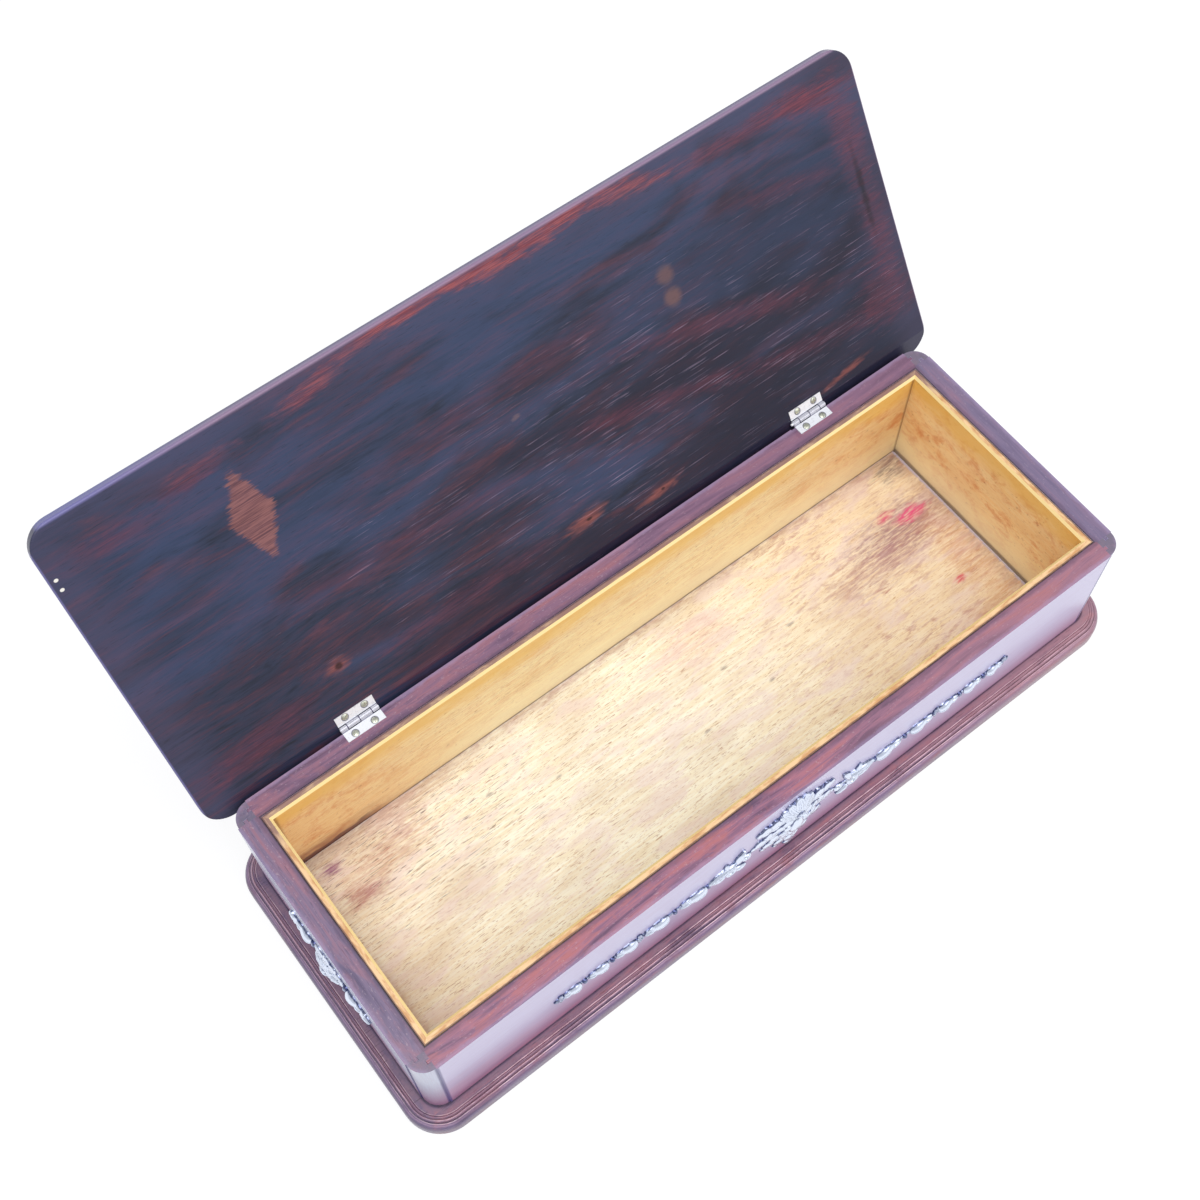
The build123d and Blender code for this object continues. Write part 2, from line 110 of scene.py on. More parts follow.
def linear(red, green, blue):
    """Colour for a socket from 0 to 255 screen values."""
    out = []
    for value in (red, green, blue):
        v = value / 255
        out.append(v / 12.92 if v <= 0.04045 else ((v + 0.055) / 1.055) ** 2.4)
    return (*out, 1)


def grey(level):
    return (level, level, level, 1)


# Depth of pores and flecks, and how much the flecks of the pale wood stand in
PORE_DEPTH = 0.0001
FLECK_BUMP = -0.2
# How far one seed moves the noise along each axis, and how deep a patch reaches
SEED_STEP = (17.3, 31.7, 11.9)
ALL_THROUGH = 1e6


class Shader:
    """One material and short ways to add nodes to it."""

    def __init__(self, name):
        self.material = bpy.data.materials.new(name)
        self.material.use_nodes = True
        self.tree = self.material.node_tree
        self.tree.nodes.clear()
        self.surface = self.node("BsdfPrincipled")
        out = self.node("OutputMaterial")
        self.tree.links.new(self.surface.outputs[0], out.inputs["Surface"])

    def node(self, kind, **properties):
        made = self.tree.nodes.new("ShaderNode" + kind)
        for name, value in properties.items():
            setattr(made, name, value)
        return made

    def feed(self, socket, value):
        if isinstance(value, bpy.types.NodeSocket):
            self.tree.links.new(value, socket)
        else:
            socket.default_value = value

    def fill(self, made, **values):
        """Feeds the inputs of a node by name, with underscores for spaces."""
        for name, value in values.items():
            self.feed(made.inputs[name.replace("_", " ")], value)

    def set(self, **values):
        self.fill(self.surface, **values)

    def math(self, operation, a, b=0):
        made = self.node("Math", operation=operation)
        for socket, value in zip(made.inputs, (a, b)):
            self.feed(socket, value)
        return made.outputs[0]

    def plus(self, a, b):
        return self.math("ADD", a, b)

    def minus(self, a, b):
        return self.math("SUBTRACT", a, b)

    def times(self, a, b):
        return self.math("MULTIPLY", a, b)

    def most(self, a, b):
        return self.math("MAXIMUM", a, b)

    def least(self, a, b):
        return self.math("MINIMUM", a, b)

    def absolute(self, a):
        return self.math("ABSOLUTE", a)

    def sway(self, noise, reach):
        """Noise as a shift to both sides, by at most half of reach."""
        return self.times(self.minus(noise, 0.5), reach)

    def vector(self, operation, a, b=(0, 0, 0)):
        made = self.node("VectorMath", operation=operation)
        self.feed(made.inputs[0], a)
        self.feed(made.inputs[1], b)
        return made.outputs["Value" if operation in ("LENGTH", "DOT_PRODUCT") else "Vector"]

    def mapped(self, vector, place, size, turn=0):
        """Coordinates in a local frame at a place, with a size and a turn about Z in degrees."""
        made = self.node("Mapping", vector_type="TEXTURE")
        self.fill(made, Vector=vector, Location=place, Rotation=(0, 0, math.radians(turn)), Scale=size)
        return made.outputs[0]

    def noise(self, vector, grain, detail=3, rough=0.5, bend=0, seed=0):
        """Noise from 0 to 1; grain is the size of a feature along each axis."""
        place = tuple(seed * step for step in SEED_STEP)
        made = self.node("TexNoise")
        local = self.mapped(vector, place, grain)
        self.fill(made, Vector=local, Scale=1, Detail=detail, Roughness=rough, Distortion=bend)
        return made.outputs["Fac"]

    def span(self, value, low, high, full=1, rest=0):
        """Smooth step from rest at low to full at high."""
        made = self.node("MapRange", interpolation_type="SMOOTHSTEP")
        for socket, v in zip(made.inputs, (value, low, high, rest, full)):
            self.feed(socket, v)
        return made.outputs[0]

    def span_linear(self, value, low, high):
        made = self.node("MapRange")
        for socket, v in zip(made.inputs, (value, low, high)):
            self.feed(socket, v)
        return made.outputs[0]

    def mix(self, share, a, b):
        made = self.node("Mix", data_type="RGBA")
        self.feed(made.inputs[0], share)
        self.feed(made.inputs[6], a)
        self.feed(made.inputs[7], b)
        return made.outputs[2]

    def tint(self, colour, share, *paint):
        """Mixes a share of a paint, in screen values, into the colour."""
        return self.mix(share, colour, linear(*paint))

    def ramp(self, value, *stops):
        made = self.node("ValToRGB")
        self.feed(made.inputs[0], value)
        steps = made.color_ramp.elements
        while len(steps) < len(stops):
            steps.new(0.5)
        for step, (place, colour) in zip(steps, stops):
            step.position = place
            step.color = colour
        return made.outputs[0]

    def split(self, vector):
        made = self.node("SeparateXYZ")
        self.feed(made.inputs[0], vector)
        return made.outputs

    def spot_share(self, vector, place, size, soft, rag=None, turn=0, strength=1, diamond=False):
        """Share of an oval patch, or a diamond with blunt points, in the X and Y of the given coordinates."""
        local = self.mapped(vector, (*place, 0), (*size, ALL_THROUGH), turn)
        if diamond:
            blunt = 1.15
            local = self.vector("ABSOLUTE", local)
            reach = self.vector("DOT_PRODUCT", local, (1, 1, 0))
            reach = self.most(reach, self.times(self.split(local)[1], blunt))
        else:
            reach = self.vector("LENGTH", local)
        if rag is not None:
            reach = self.plus(reach, rag)
        return self.span(reach, 1 + soft, 1 - soft, strength)

    def spot(self, colour, vector, place, size, paint, strength, turn, soft, rag=None, diamond=False,
             grain=None):
        """Paints a patch. rag makes its outline uneven and grain, from 0 to 1, breaks it into streaks."""
        share = self.spot_share(vector, place, size, soft, rag, turn, strength, diamond)
        if grain is not None:
            share = self.times(share, grain)
        return self.mix(share, colour, paint)

    def bump(self, height, strength):
        made = self.node("Bump")
        self.fill(made, Strength=strength, Distance=PORE_DEPTH, Height=height)
        return made.outputs[0]

    def scaled(self, vector, scale):
        made = self.node("VectorMath", operation="SCALE")
        self.feed(made.inputs[0], vector)
        self.feed(made.inputs["Scale"], scale)
        return made.outputs[0]

    def object_mm(self):
        return self.scaled(self.node("TexCoord").outputs["Object"], 1 / MM)

    def case_offset(self, place):
        """Distance out from the wall faces in plan in mm, round the corner posts too."""
        past = self.vector("SUBTRACT", self.vector("ABSOLUTE", place), POST_CENTRE_MM)
        past = self.vector("MULTIPLY", self.vector("MAXIMUM", past), (1, 1, 0))
        return self.minus(self.vector("LENGTH", past), POST_SIZE_MM)

    def case_inset(self, place):
        """The same with square corners, for the inside of the case, where it is below zero."""
        x, y = self.split(self.vector("SUBTRACT", self.vector("ABSOLUTE", place), CASE_HALF_MM))[:2]
        return self.most(x, y)

    def normal(self):
        return self.node("NewGeometry").outputs["Normal"]


def dress(material, *names):
    """Gives CAD nodes or pieces a material in all their slots."""
    for name in names:
        piece = nodes[name] if isinstance(name, str) else name
        piece.data.materials.clear()
        piece.data.materials.append(material)


# Rosewood

# How far the figure wanders in mm, and sizes of its features along and across the grain
WANDER = (4, 14, 14)
BEND, FIGURE, STREAK, FIBRE, PORE = (110, 24), (70, 8), (30, 1.5), (12, 0.4), (6, 0.34)


def along_grain(axis, length, width):
    """Size of a grain feature, long on one axis."""
    size = [width] * 3
    size[axis] = length
    return tuple(size)


def rosewood(shader, place, axis, stops, seed, fine=0.5, ends=(0.37, 0.46, 0.54, 0.64)):
    """Figured rosewood: its colour, its pores and its fibres.

    The grain runs on the given axis, fine is the share of the fine streaks in the figure, and ends are the
    places of the four stops in it."""
    wander = shader.noise(place, along_grain(axis, *BEND), 2, seed=seed + 1)
    bent = shader.vector("ADD", place, shader.scaled(WANDER, wander))
    figure = shader.noise(bent, along_grain(axis, *FIGURE), 3, 0.6, 0.8, seed + 2)
    streak = shader.noise(bent, along_grain(axis, *STREAK), 4, 0.66, 0.3, seed + 3)
    fibre = shader.noise(place, along_grain(axis, *FIBRE), 2, 0.6, 0, seed + 4)
    mixed = shader.plus(shader.times(figure, 1 - fine), shader.times(streak, fine))
    colour = shader.ramp(mixed, *zip(ends, stops))
    colour = shader.mix(shader.span(fibre, 0.46, 0.30, 0.5), colour, stops[0])
    pores = shader.noise(place, along_grain(axis, *PORE), 1, 0.4, 0, seed + 5)
    return colour, shader.span(pores, 0.34, 0.28), fibre


# Four colours of the figure for each side, and the other paints of the case, among them three pale lilac
# tints of a painted reflection on the upright faces
FRONT_STOPS = (linear(100, 68, 96), linear(142, 98, 124), linear(170, 108, 124), linear(180, 104, 102))
BACK_STOPS = (linear(104, 74, 100), linear(130, 96, 122), linear(148, 104, 124), linear(164, 106, 116))
END_STOPS = (linear(92, 78, 108), linear(120, 104, 132), linear(136, 108, 132), linear(154, 108, 124))
PAINTED_SHEEN = linear(230, 222, 255)
SEAM_DARK = linear(40, 26, 42)
SEAM_VIOLET = linear(60, 54, 134)
COOL_PAINTED_SHEEN = linear(228, 230, 255)
POST_PAINTED_SHEEN = linear(228, 233, 255)
RED_GROUND = linear(208, 137, 180)
# Painted reflection on the upright faces, a pale sheen: how far up from its foot to its top, whose heights
# are in mm, and its share there
SHEEN_FOOT_MM = 10.0
SHEEN_TOP_MM = 78.0
SHEEN_SHARE = ((0, 0.05), (0.1, 0.24), (0.2, 0.46), (0.32, 0.7), (0.48, 0.94), (0.62, 1))


def finish_wood(shader, colour, fibre, pores, bump=0.25, shine=0.4, coat=0.4):
    shader.set(Base_Color=colour, Roughness=0.4, Specular_IOR_Level=shine)
    shader.set(Coat_Weight=coat, Coat_Roughness=0.14, Coat_IOR=1.5)
    ridge = shader.minus(shader.times(fibre, 0.4), pores)
    shader.set(Normal=shader.bump(ridge, bump))
    return shader.material


def case_wood(name, axis, seed, stops, sheen_strength, calm, sheen_paint=PAINTED_SHEEN, dirt=0):
    """Rosewood of the case.

    Its figure fades into the colour calm towards the right. Two arguments give the strength and the paint of
    a painted reflection, a pale sheen on upright faces that is strongest at the top, and dirt is the strength
    of the grey dirt on level ones."""
    shader = Shader(name)
    place = shader.object_mm()
    colour, pores, fibre = rosewood(shader, place, axis, stops, seed, 0.32)
    colour = shader.tint(colour, shader.times(pores, 0.3), 60, 36, 54)
    specks = shader.noise(place, along_grain(axis, 1.4, 0.7), 2, 0.5, 0, seed + 10)
    colour = shader.tint(colour, shader.span(specks, 0.62, 0.72, 0.3), 200, 176, 184)
    facing = shader.split(shader.normal())[2]
    x, y, height = shader.split(place)
    colour = shader.tint(colour, shader.span(x, -20, 110, 0.45), *calm)
    figure = shader.noise(place, along_grain(axis, 16, 6), 3, 0.6, 1.4, seed + 11)
    wave = shader.times(shader.span(figure, 0.5, 0.62), shader.span(x, 40, -60, 0.38))
    colour = shader.mix(wave, colour, stops[3])
    offset = shader.case_offset(place)
    inset = shader.case_inset(place)
    grime = shader.noise(place, (7, 7, 7), 4, 0.65, 0, seed + 8)
    ragged = shader.sway(grime, 3)
    rim_band_offset = shader.plus(offset, ragged)
    level = shader.span(facing, 0.35, 0.8)
    # level faces: dark beside the linings, and a painted highlight along the outer edge
    rim = shader.times(level, shader.span(rim_band_offset, -7, -9, 0.5))
    colour = shader.tint(colour, rim, 84, 62, 88)
    rim = shader.times(level, shader.span(rim_band_offset, -2.2, -0.4, 0.4))
    colour = shader.tint(colour, rim, 166, 150, 186)
    covered = shader.span(grime, 0.4, 0.62, 0.3 * dirt, dirt)
    colour = shader.tint(colour, shader.times(level, covered), 112, 104, 122)
    at_lining = shader.span(inset, 0.8 - WALL_MM, 0.2 - WALL_MM)
    seam = shader.times(at_lining, shader.span(grime, 0.3, 0.5, 0.9, 0.45))
    colour = shader.mix(seam, colour, SEAM_DARK)
    # painted reflection: a pale sheen on the upright faces, growing with height and towards the right and
    # broken by the grain
    cloud = shader.noise(place, (70, 70, 16), 2, 0.5, 0, seed + 7)
    depth = shader.plus(height, shader.sway(cloud, 10))
    depth = shader.plus(depth, shader.times(x, 0.03))
    reach = shader.span_linear(depth, SHEEN_FOOT_MM, SHEEN_TOP_MM)
    share = shader.ramp(reach, *[(part, grey(strength)) for part, strength in SHEEN_SHARE])
    upright = shader.span(facing, 0.5, 0.2)
    # the upright faces' own red ground, under the painted sheen
    colour = shader.mix(shader.times(upright, 0.6), colour, RED_GROUND)
    share = shader.times(share, shader.span(fibre, 0.3, 0.6, 1, 0.88))
    colour = shader.mix(shader.times(share, shader.times(upright, sheen_strength)), colour, sheen_paint)
    # painted shade along the foot of the upright faces, where they meet the base board
    foot = shader.span(height, BOARD_TOP_MM + 1.4, BOARD_TOP_MM + 0.1, 0.6)
    foot = shader.times(upright, foot)
    colour = shader.mix(foot, colour, SEAM_DARK)
    # joints between the walls and the posts, on the outside
    outer = shader.span(offset, -1.2, -0.6)
    near = []
    for value, middle in zip((x, y), POST_CENTRE_MM):
        gap = shader.minus(shader.absolute(value), middle)
        near.append(shader.span(shader.absolute(gap), 1.3, 0.5, 0.85))
    margin = 1.5
    beside = shader.minus(shader.absolute(x), POST_CENTRE_MM[0] - margin)
    behind = shader.minus(shader.absolute(y), POST_CENTRE_MM[1] - margin)
    at_corner = shader.times(shader.span(beside, 0, 0.1), shader.span(behind, 0, 0.1))
    joint_line = shader.times(shader.most(*near), shader.times(at_corner, outer))
    colour = shader.mix(shader.times(joint_line, upright), colour, SEAM_VIOLET)
    return finish_wood(shader, colour, fibre, pores)


# Base board: the moulding's paint by distance out from the wall face in mm, with painted highlights on the
# crests of the beads and painted shade in the quirks and against the wall
MOULDING = (
    (0, (66, 50, 78)), (0.45, (108, 84, 110)), (1.2, (140, 112, 128)), (2.6, (152, 116, 130)),
    (3.5, (134, 104, 120)), (3.8, (238, 202, 208)), (4.1, (96, 72, 94)), (4.5, (194, 146, 156)),
    (4.85, (84, 64, 88)), (5.3, (186, 140, 154)), (5.7, (240, 206, 216)), (6.2, (132, 98, 120)),
    (6.7, (72, 58, 90)), (7.1, (204, 172, 190)), (7.5, (122, 96, 128)), (7.9, (184, 154, 178)),
    (8.5, (124, 104, 138)), (9.3, (150, 128, 160)),
)
MOULDING_WIDTH = MOULDING[-1][0]
# The painted highlight lines on the crests of the moulding, by the same distance
CRESTS = (3.8, 5.6, 7.1)


def board_wood():
    """Base board: painted highlights on the crests of its beads and painted shade in the quirks between them.
    """
    shader = Shader("rosewood_board")
    place = shader.object_mm()
    stops = (linear(80, 62, 92), linear(126, 92, 114), linear(160, 104, 116), linear(190, 120, 120))
    colour, pores, fibre = rosewood(shader, place, 0, stops, 12)
    across = rosewood(shader, place, 1, stops, 14)[0]
    x, y = shader.split(place)[:2]
    end_side = shader.minus(
        shader.minus(shader.absolute(x), POST_CENTRE_MM[0]),
        shader.minus(shader.absolute(y), POST_CENTRE_MM[1]),
    )
    colour = shader.mix(shader.span(end_side, -1, 1), colour, across)
    colour = shader.tint(colour, shader.span(end_side, -1, 1, 0.5), 96, 90, 128)
    reddened = shader.span(x, 40, 190, 0.4)
    blued = shader.span(x, -40, -180, 0.2)
    offset = shader.case_offset(place)
    waver = shader.noise(place, (12, 12, 12), 4, 0.7, 0, 83)
    offset = shader.plus(offset, shader.sway(waver, 0.8))
    reach = shader.span_linear(offset, 0, MOULDING_WIDTH)
    paint = shader.ramp(reach, *[(distance / MOULDING_WIDTH, linear(*c)) for distance, c in MOULDING])
    moulding_patchiness = shader.noise(place, (16, 16, 4), 4, 0.7, 0, 81)
    colour = shader.mix(shader.span(moulding_patchiness, 0.36, 0.6, 0.85, 0.2), colour, paint)
    colour = shader.tint(colour, reddened, 198, 150, 154)
    colour = shader.tint(colour, blued, 84, 92, 122)
    # painted highlights on the crests, brightest left of the middle of the long sides and broken up in
    # patches
    along = shader.span(shader.absolute(shader.plus(x, 25)), 175, 110, 0.9, 0.3)
    along = shader.times(along, shader.span(end_side, -0.5, -4, 1, 0.35))
    broken = shader.times(along, shader.span(moulding_patchiness, 0.36, 0.56, 1, 0.2))
    for crest in CRESTS:
        away = shader.absolute(shader.minus(offset, crest))
        bright = shader.times(shader.span(away, 0.32, 0.06), broken)
        colour = shader.tint(colour, bright, 240, 204, 212)
    # painted shade on the board right against the wall face
    contact_shade = shader.span(offset, 0.9, 0.15, 0.7)
    colour = shader.tint(colour, contact_shade, 52, 40, 66)
    # the board's top shows through the gap at the floor panel's right end
    under = shader.span(shader.case_inset(place), -WALL_MM - 1, -WALL_MM - 2)
    colour = shader.tint(colour, under, 226, 222, 240)
    colour = shader.tint(colour, shader.times(pores, 0.45), 44, 26, 42)
    return finish_wood(shader, colour, fibre, pores, 0.25, 0.3, 0.2)


dress(case_wood("rosewood_front", 0, 0, FRONT_STOPS, 1, (162, 118, 130)), "front_wall")
dress(case_wood("rosewood_back", 0, 3, BACK_STOPS, 0.75, (140, 100, 124)), "back_wall")
dress(
    case_wood("rosewood_ends", 1, 7, END_STOPS, 1, (126, 112, 142), COOL_PAINTED_SHEEN),
    "left_wall", "right_wall",
)
dress(
    case_wood("rosewood_posts", 2, 9, END_STOPS, 1, (140, 120, 134), POST_PAINTED_SHEEN, 0.75),
    *[f"corner_post_{y}_{x}" for y in ("front", "back") for x in ("left", "right")],
)
dress(board_wood(), "base_board")

# Lid outline in mm: half its length and its depth from the hinge axis to the front edge
LID_HALF_LENGTH = 200.1
LID_DEPTH = 147.6

# Marks on the inner face of the lid, in mm: distance right of the middle and from the hinge axis, and half
# sizes. A flame also has its turn in degrees and its strength, and a knot its strength.
FLAMES = (
    (-30, 145, 26, 2.6, 2, 0.95),
    (8, 143.5, 20, 3.4, -5, 1),
    (44, 144.5, 22, 2.8, 3, 0.95),
    (76, 142, 16, 3, -8, 0.8),
    (132, 136, 30, 3.5, -3, 0.55),
    (172, 134, 20, 5, -8, 0.9),
    (-80, 138, 14, 3, 10, 0.7),
    (-134, 133, 14, 3.5, 6, 0.5),
    (-172, 128, 16, 4, -6, 0.4),
    (188, 112, 7, 20, 0, 0.6),
    (190, 62, 6, 20, 0, 0.5),
    (184, 32, 12, 12, 0, 0.45),
    (150, 104, 24, 3.5, -10, 0.35),
    (100, 66, 46, 4, -14, 0.45),
    (60, 48, 40, 3.5, -12, 0.4),
    (140, 30, 40, 4, -8, 0.3),
    (-10, 96, 60, 4, 3, 0.2),
    (-70, 60, 60, 4, -4, 0.22),
    (-168, 16, 26, 6, 4, 0.5),
    (-60, 20, 40, 4, 0, 0.35),
)
KNOTS = (
    (-121.75, 27, 4.6, 2.6, 0.65),
    (4, 18.8, 9, 2.6, 0.7),
    (42.5, 10, 10, 1.9, 0.62),
    (152, 7.4, 12, 1.2, 0.6),
)
KNOT_HEARTS = ((-121.75, 27, 1.7, 1.5), (5.5, 18.4, 1.4, 0.7), (43.5, 10.2, 0.9, 0.6))
DIAMOND = (-121.75, 106, 9.8, 22)
PALE_FLECK = (-6, 80, 2.4, 1.2)
DARK_STREAK = (188, 82, 1.4, 17)
# Places alone, with one half size for all: two tan spots, with their strengths, and two white dots
TAN_SPOTS = ((81, 98.8, 0.6), (81, 88.3, 0.7))
TAN_SPOT_HALF = (4, 4)
WHITE_DOTS = ((-197, 125.5), (-197, 121))
WHITE_DOT_HALF = (0.9, 0.7)
# Painted sheen on the lid's edges, by height above the hinge axis in mm
EDGE_LOW = 0.6
EDGE_HIGH = 6.6
EDGE_SHEEN = (
    (0, linear(150, 124, 150)),
    (0.3, linear(146, 128, 162)),
    (0.55, linear(112, 104, 136)),
    (1, linear(74, 70, 98)),
)


def lid_wood():
    """Very dark rosewood with a painted reflection, a slate-blue sheen, and the marks on the inner face of
    the lid.

    The coordinates are those of the closed lid from the hinge axis: to the right, forwards, up."""
    shader = Shader("rosewood_lid")
    place = shader.object_mm()
    offset = shader.vector("SUBTRACT", place, tuple(hinge_point / MM))
    turned = shader.node("VectorRotate", rotation_type="X_AXIS")
    shader.fill(turned, Vector=offset, Angle=open_angle)
    flat = shader.vector("MULTIPLY", turned.outputs[0], (1, -1, 1))
    right, forward, height = shader.split(flat)
    stops = (linear(30, 34, 48), linear(44, 50, 72), linear(62, 48, 66), linear(90, 54, 66))
    colour, pores, fibre = rosewood(shader, flat, 0, stops, 20, 0.45, (0.36, 0.46, 0.54, 0.64))
    # painted reflection, a slate-blue sheen, with painted shade towards the hinges and deep wood on the right
    cloud = shader.noise(flat, (80, 26, 26), 3, 0.55, 0.4, 31)
    sheen_level = shader.plus(cloud, shader.times(forward, 0.0016))
    colour = shader.tint(colour, shader.span(sheen_level, 0.5, 0.78, 0.5), 60, 76, 112)
    dark = shader.minus(sheen_level, shader.times(right, 0.0008))
    colour = shader.tint(colour, shader.span(dark, 0.64, 0.36, 0.75), 30, 26, 44)
    deep = shader.times(shader.span(right, 30, 130), shader.span(forward, 128, 96, 0.5))
    colour = shader.tint(colour, deep, 26, 30, 50)
    edge = shader.minus(LID_HALF_LENGTH, shader.absolute(right))
    margin = shader.least(edge, shader.minus(LID_DEPTH + 4, forward))
    colour = shader.tint(colour, shader.span(margin, 26, 4, 0.4), 78, 72, 98)
    plain = colour
    rag_noise = shader.noise(flat, (11, 2.6, 2.6), 4, 0.62, 0.6, 33)
    rag = shader.sway(rag_noise, 2.8)
    lines = shader.span(shader.noise(flat, (13, 1.2, 1.2), 4, 0.66, 0.8, 35), 0.34, 0.6, 1, 0.4)
    flame = shader.mix(shader.span(fibre, 0.4, 0.6), linear(94, 46, 64), linear(124, 60, 74))
    ember_side = shader.times(shader.span(forward, 130, 138), shader.span(right, 130, 90))
    bright_flame = shader.mix(shader.span(fibre, 0.4, 0.6), linear(120, 54, 64), linear(162, 84, 86))
    flame = shader.mix(ember_side, flame, bright_flame)
    for x, y, half_x, half_y, turn, strength in FLAMES:
        half = (half_x, half_y)
        colour = shader.spot(colour, flat, (x, y), half, flame, strength, turn, 0.8, rag, grain=lines)
    jag = shader.sway(shader.noise(flat, (5, 0.8, 0.8), 2, seed=37), 0.7)
    stripe = shader.mix(shader.span(fibre, 0.35, 0.6), linear(102, 62, 66), linear(150, 98, 94))
    colour = shader.spot(colour, flat, DIAMOND[:2], DIAMOND[2:], stripe, 0.85, 0, 0.14, jag, diamond=True)
    ember = shader.mix(lines, linear(78, 42, 50), linear(160, 90, 80))
    for x, y, half_x, half_y, strength in KNOTS:
        colour = shader.spot(colour, flat, (x, y), (half_x, half_y), ember, strength, 8, 0.8, rag)
    for x, y, half_x, half_y in KNOT_HEARTS:
        colour = shader.spot(colour, flat, (x, y), (half_x, half_y), linear(44, 24, 26), 0.85, 0, 0.5, jag)
    for x, y, strength in TAN_SPOTS:
        colour = shader.spot(colour, flat, (x, y), TAN_SPOT_HALF, linear(118, 86, 82), strength, 0, 0.5, jag)
    colour = shader.spot(colour, flat, PALE_FLECK[:2], PALE_FLECK[2:], linear(120, 96, 100), 0.5, 0, 0.4, rag)
    colour = shader.spot(colour, flat, DARK_STREAK[:2], DARK_STREAK[2:], linear(20, 18, 30), 0.7, 0, 0.8, rag)
    for dot in WHITE_DOTS:
        colour = shader.spot(colour, flat, dot, WHITE_DOT_HALF, linear(240, 236, 226), 1, 0, 0.2)
    # fine pale dashes right of the middle
    chalk = shader.noise(flat, (30, 0.34, 0.34), 1, 0.4, 0, 39)
    zone = shader.spot_share(flat, (70, 52), (130, 40), 0.7, rag)
    short = shader.noise(flat, (16, 0.3, 0.3), 1, 0.4, 0, 41)
    dashes = shader.most(shader.span(chalk, 0.31, 0.26), shader.span(short, 0.29, 0.24, 0.8))
    dashes = shader.times(dashes, zone)
    colour = shader.tint(colour, shader.times(dashes, 0.6), 172, 150, 176)
    # the marks stay off the outer face
    colour = shader.mix(shader.span(height, 4.4, 3.2), plain, colour)
    colour = shader.tint(colour, shader.times(pores, 0.35), 12, 10, 18)
    # painted reflection, a pale sheen, on the edges of the board, bluer towards the left end
    front_edge = shader.minus(LID_DEPTH, forward)
    rim = shader.most(shader.span(front_edge, 1.8, 0.5), shader.span(edge, 1, 0.3))
    side = shader.ramp(shader.span_linear(height, EDGE_LOW, EDGE_HIGH), *EDGE_SHEEN)
    blued = shader.span(right, -110, -180)
    side = shader.tint(side, shader.times(blued, 0.7), 104, 112, 176)
    colour = shader.mix(shader.times(rim, 0.85), colour, side)
    return finish_wood(shader, colour, fibre, pores, 0.2, 0.25, 0.25)


dress(lid_wood(), "lid_panel")


# Linings and floor

def pale_wood(shader, place, axis, base, shade, fleck, seed, share=0.6):
    """Pale open-grained wood: its colour and its short dark flecks. share is the strength of the flecks."""
    figure = shader.noise(place, along_grain(axis, 22, 1.3), 4, 0.62, 0.3, seed)
    cloud = shader.noise(place, along_grain(axis, 50, 22), 3, 0.55, 0.3, seed + 2)
    colour = shader.mix(shader.span(figure, 0.38, 0.62), base, shade)
    colour = shader.mix(shader.span(cloud, 0.44, 0.7, 0.25), colour, fleck)
    fine = shader.noise(place, along_grain(axis, 2.6, 0.36), 2, 0.6, 0, seed + 4)
    long = shader.noise(place, along_grain(axis, 5.5, 0.5), 1, 0.5, 0, seed + 5)
    dashes = shader.most(shader.span(fine, 0.41, 0.33), shader.span(long, 0.34, 0.29, 1.3))
    colour = shader.mix(shader.times(dashes, share), colour, fleck)
    return colour, dashes


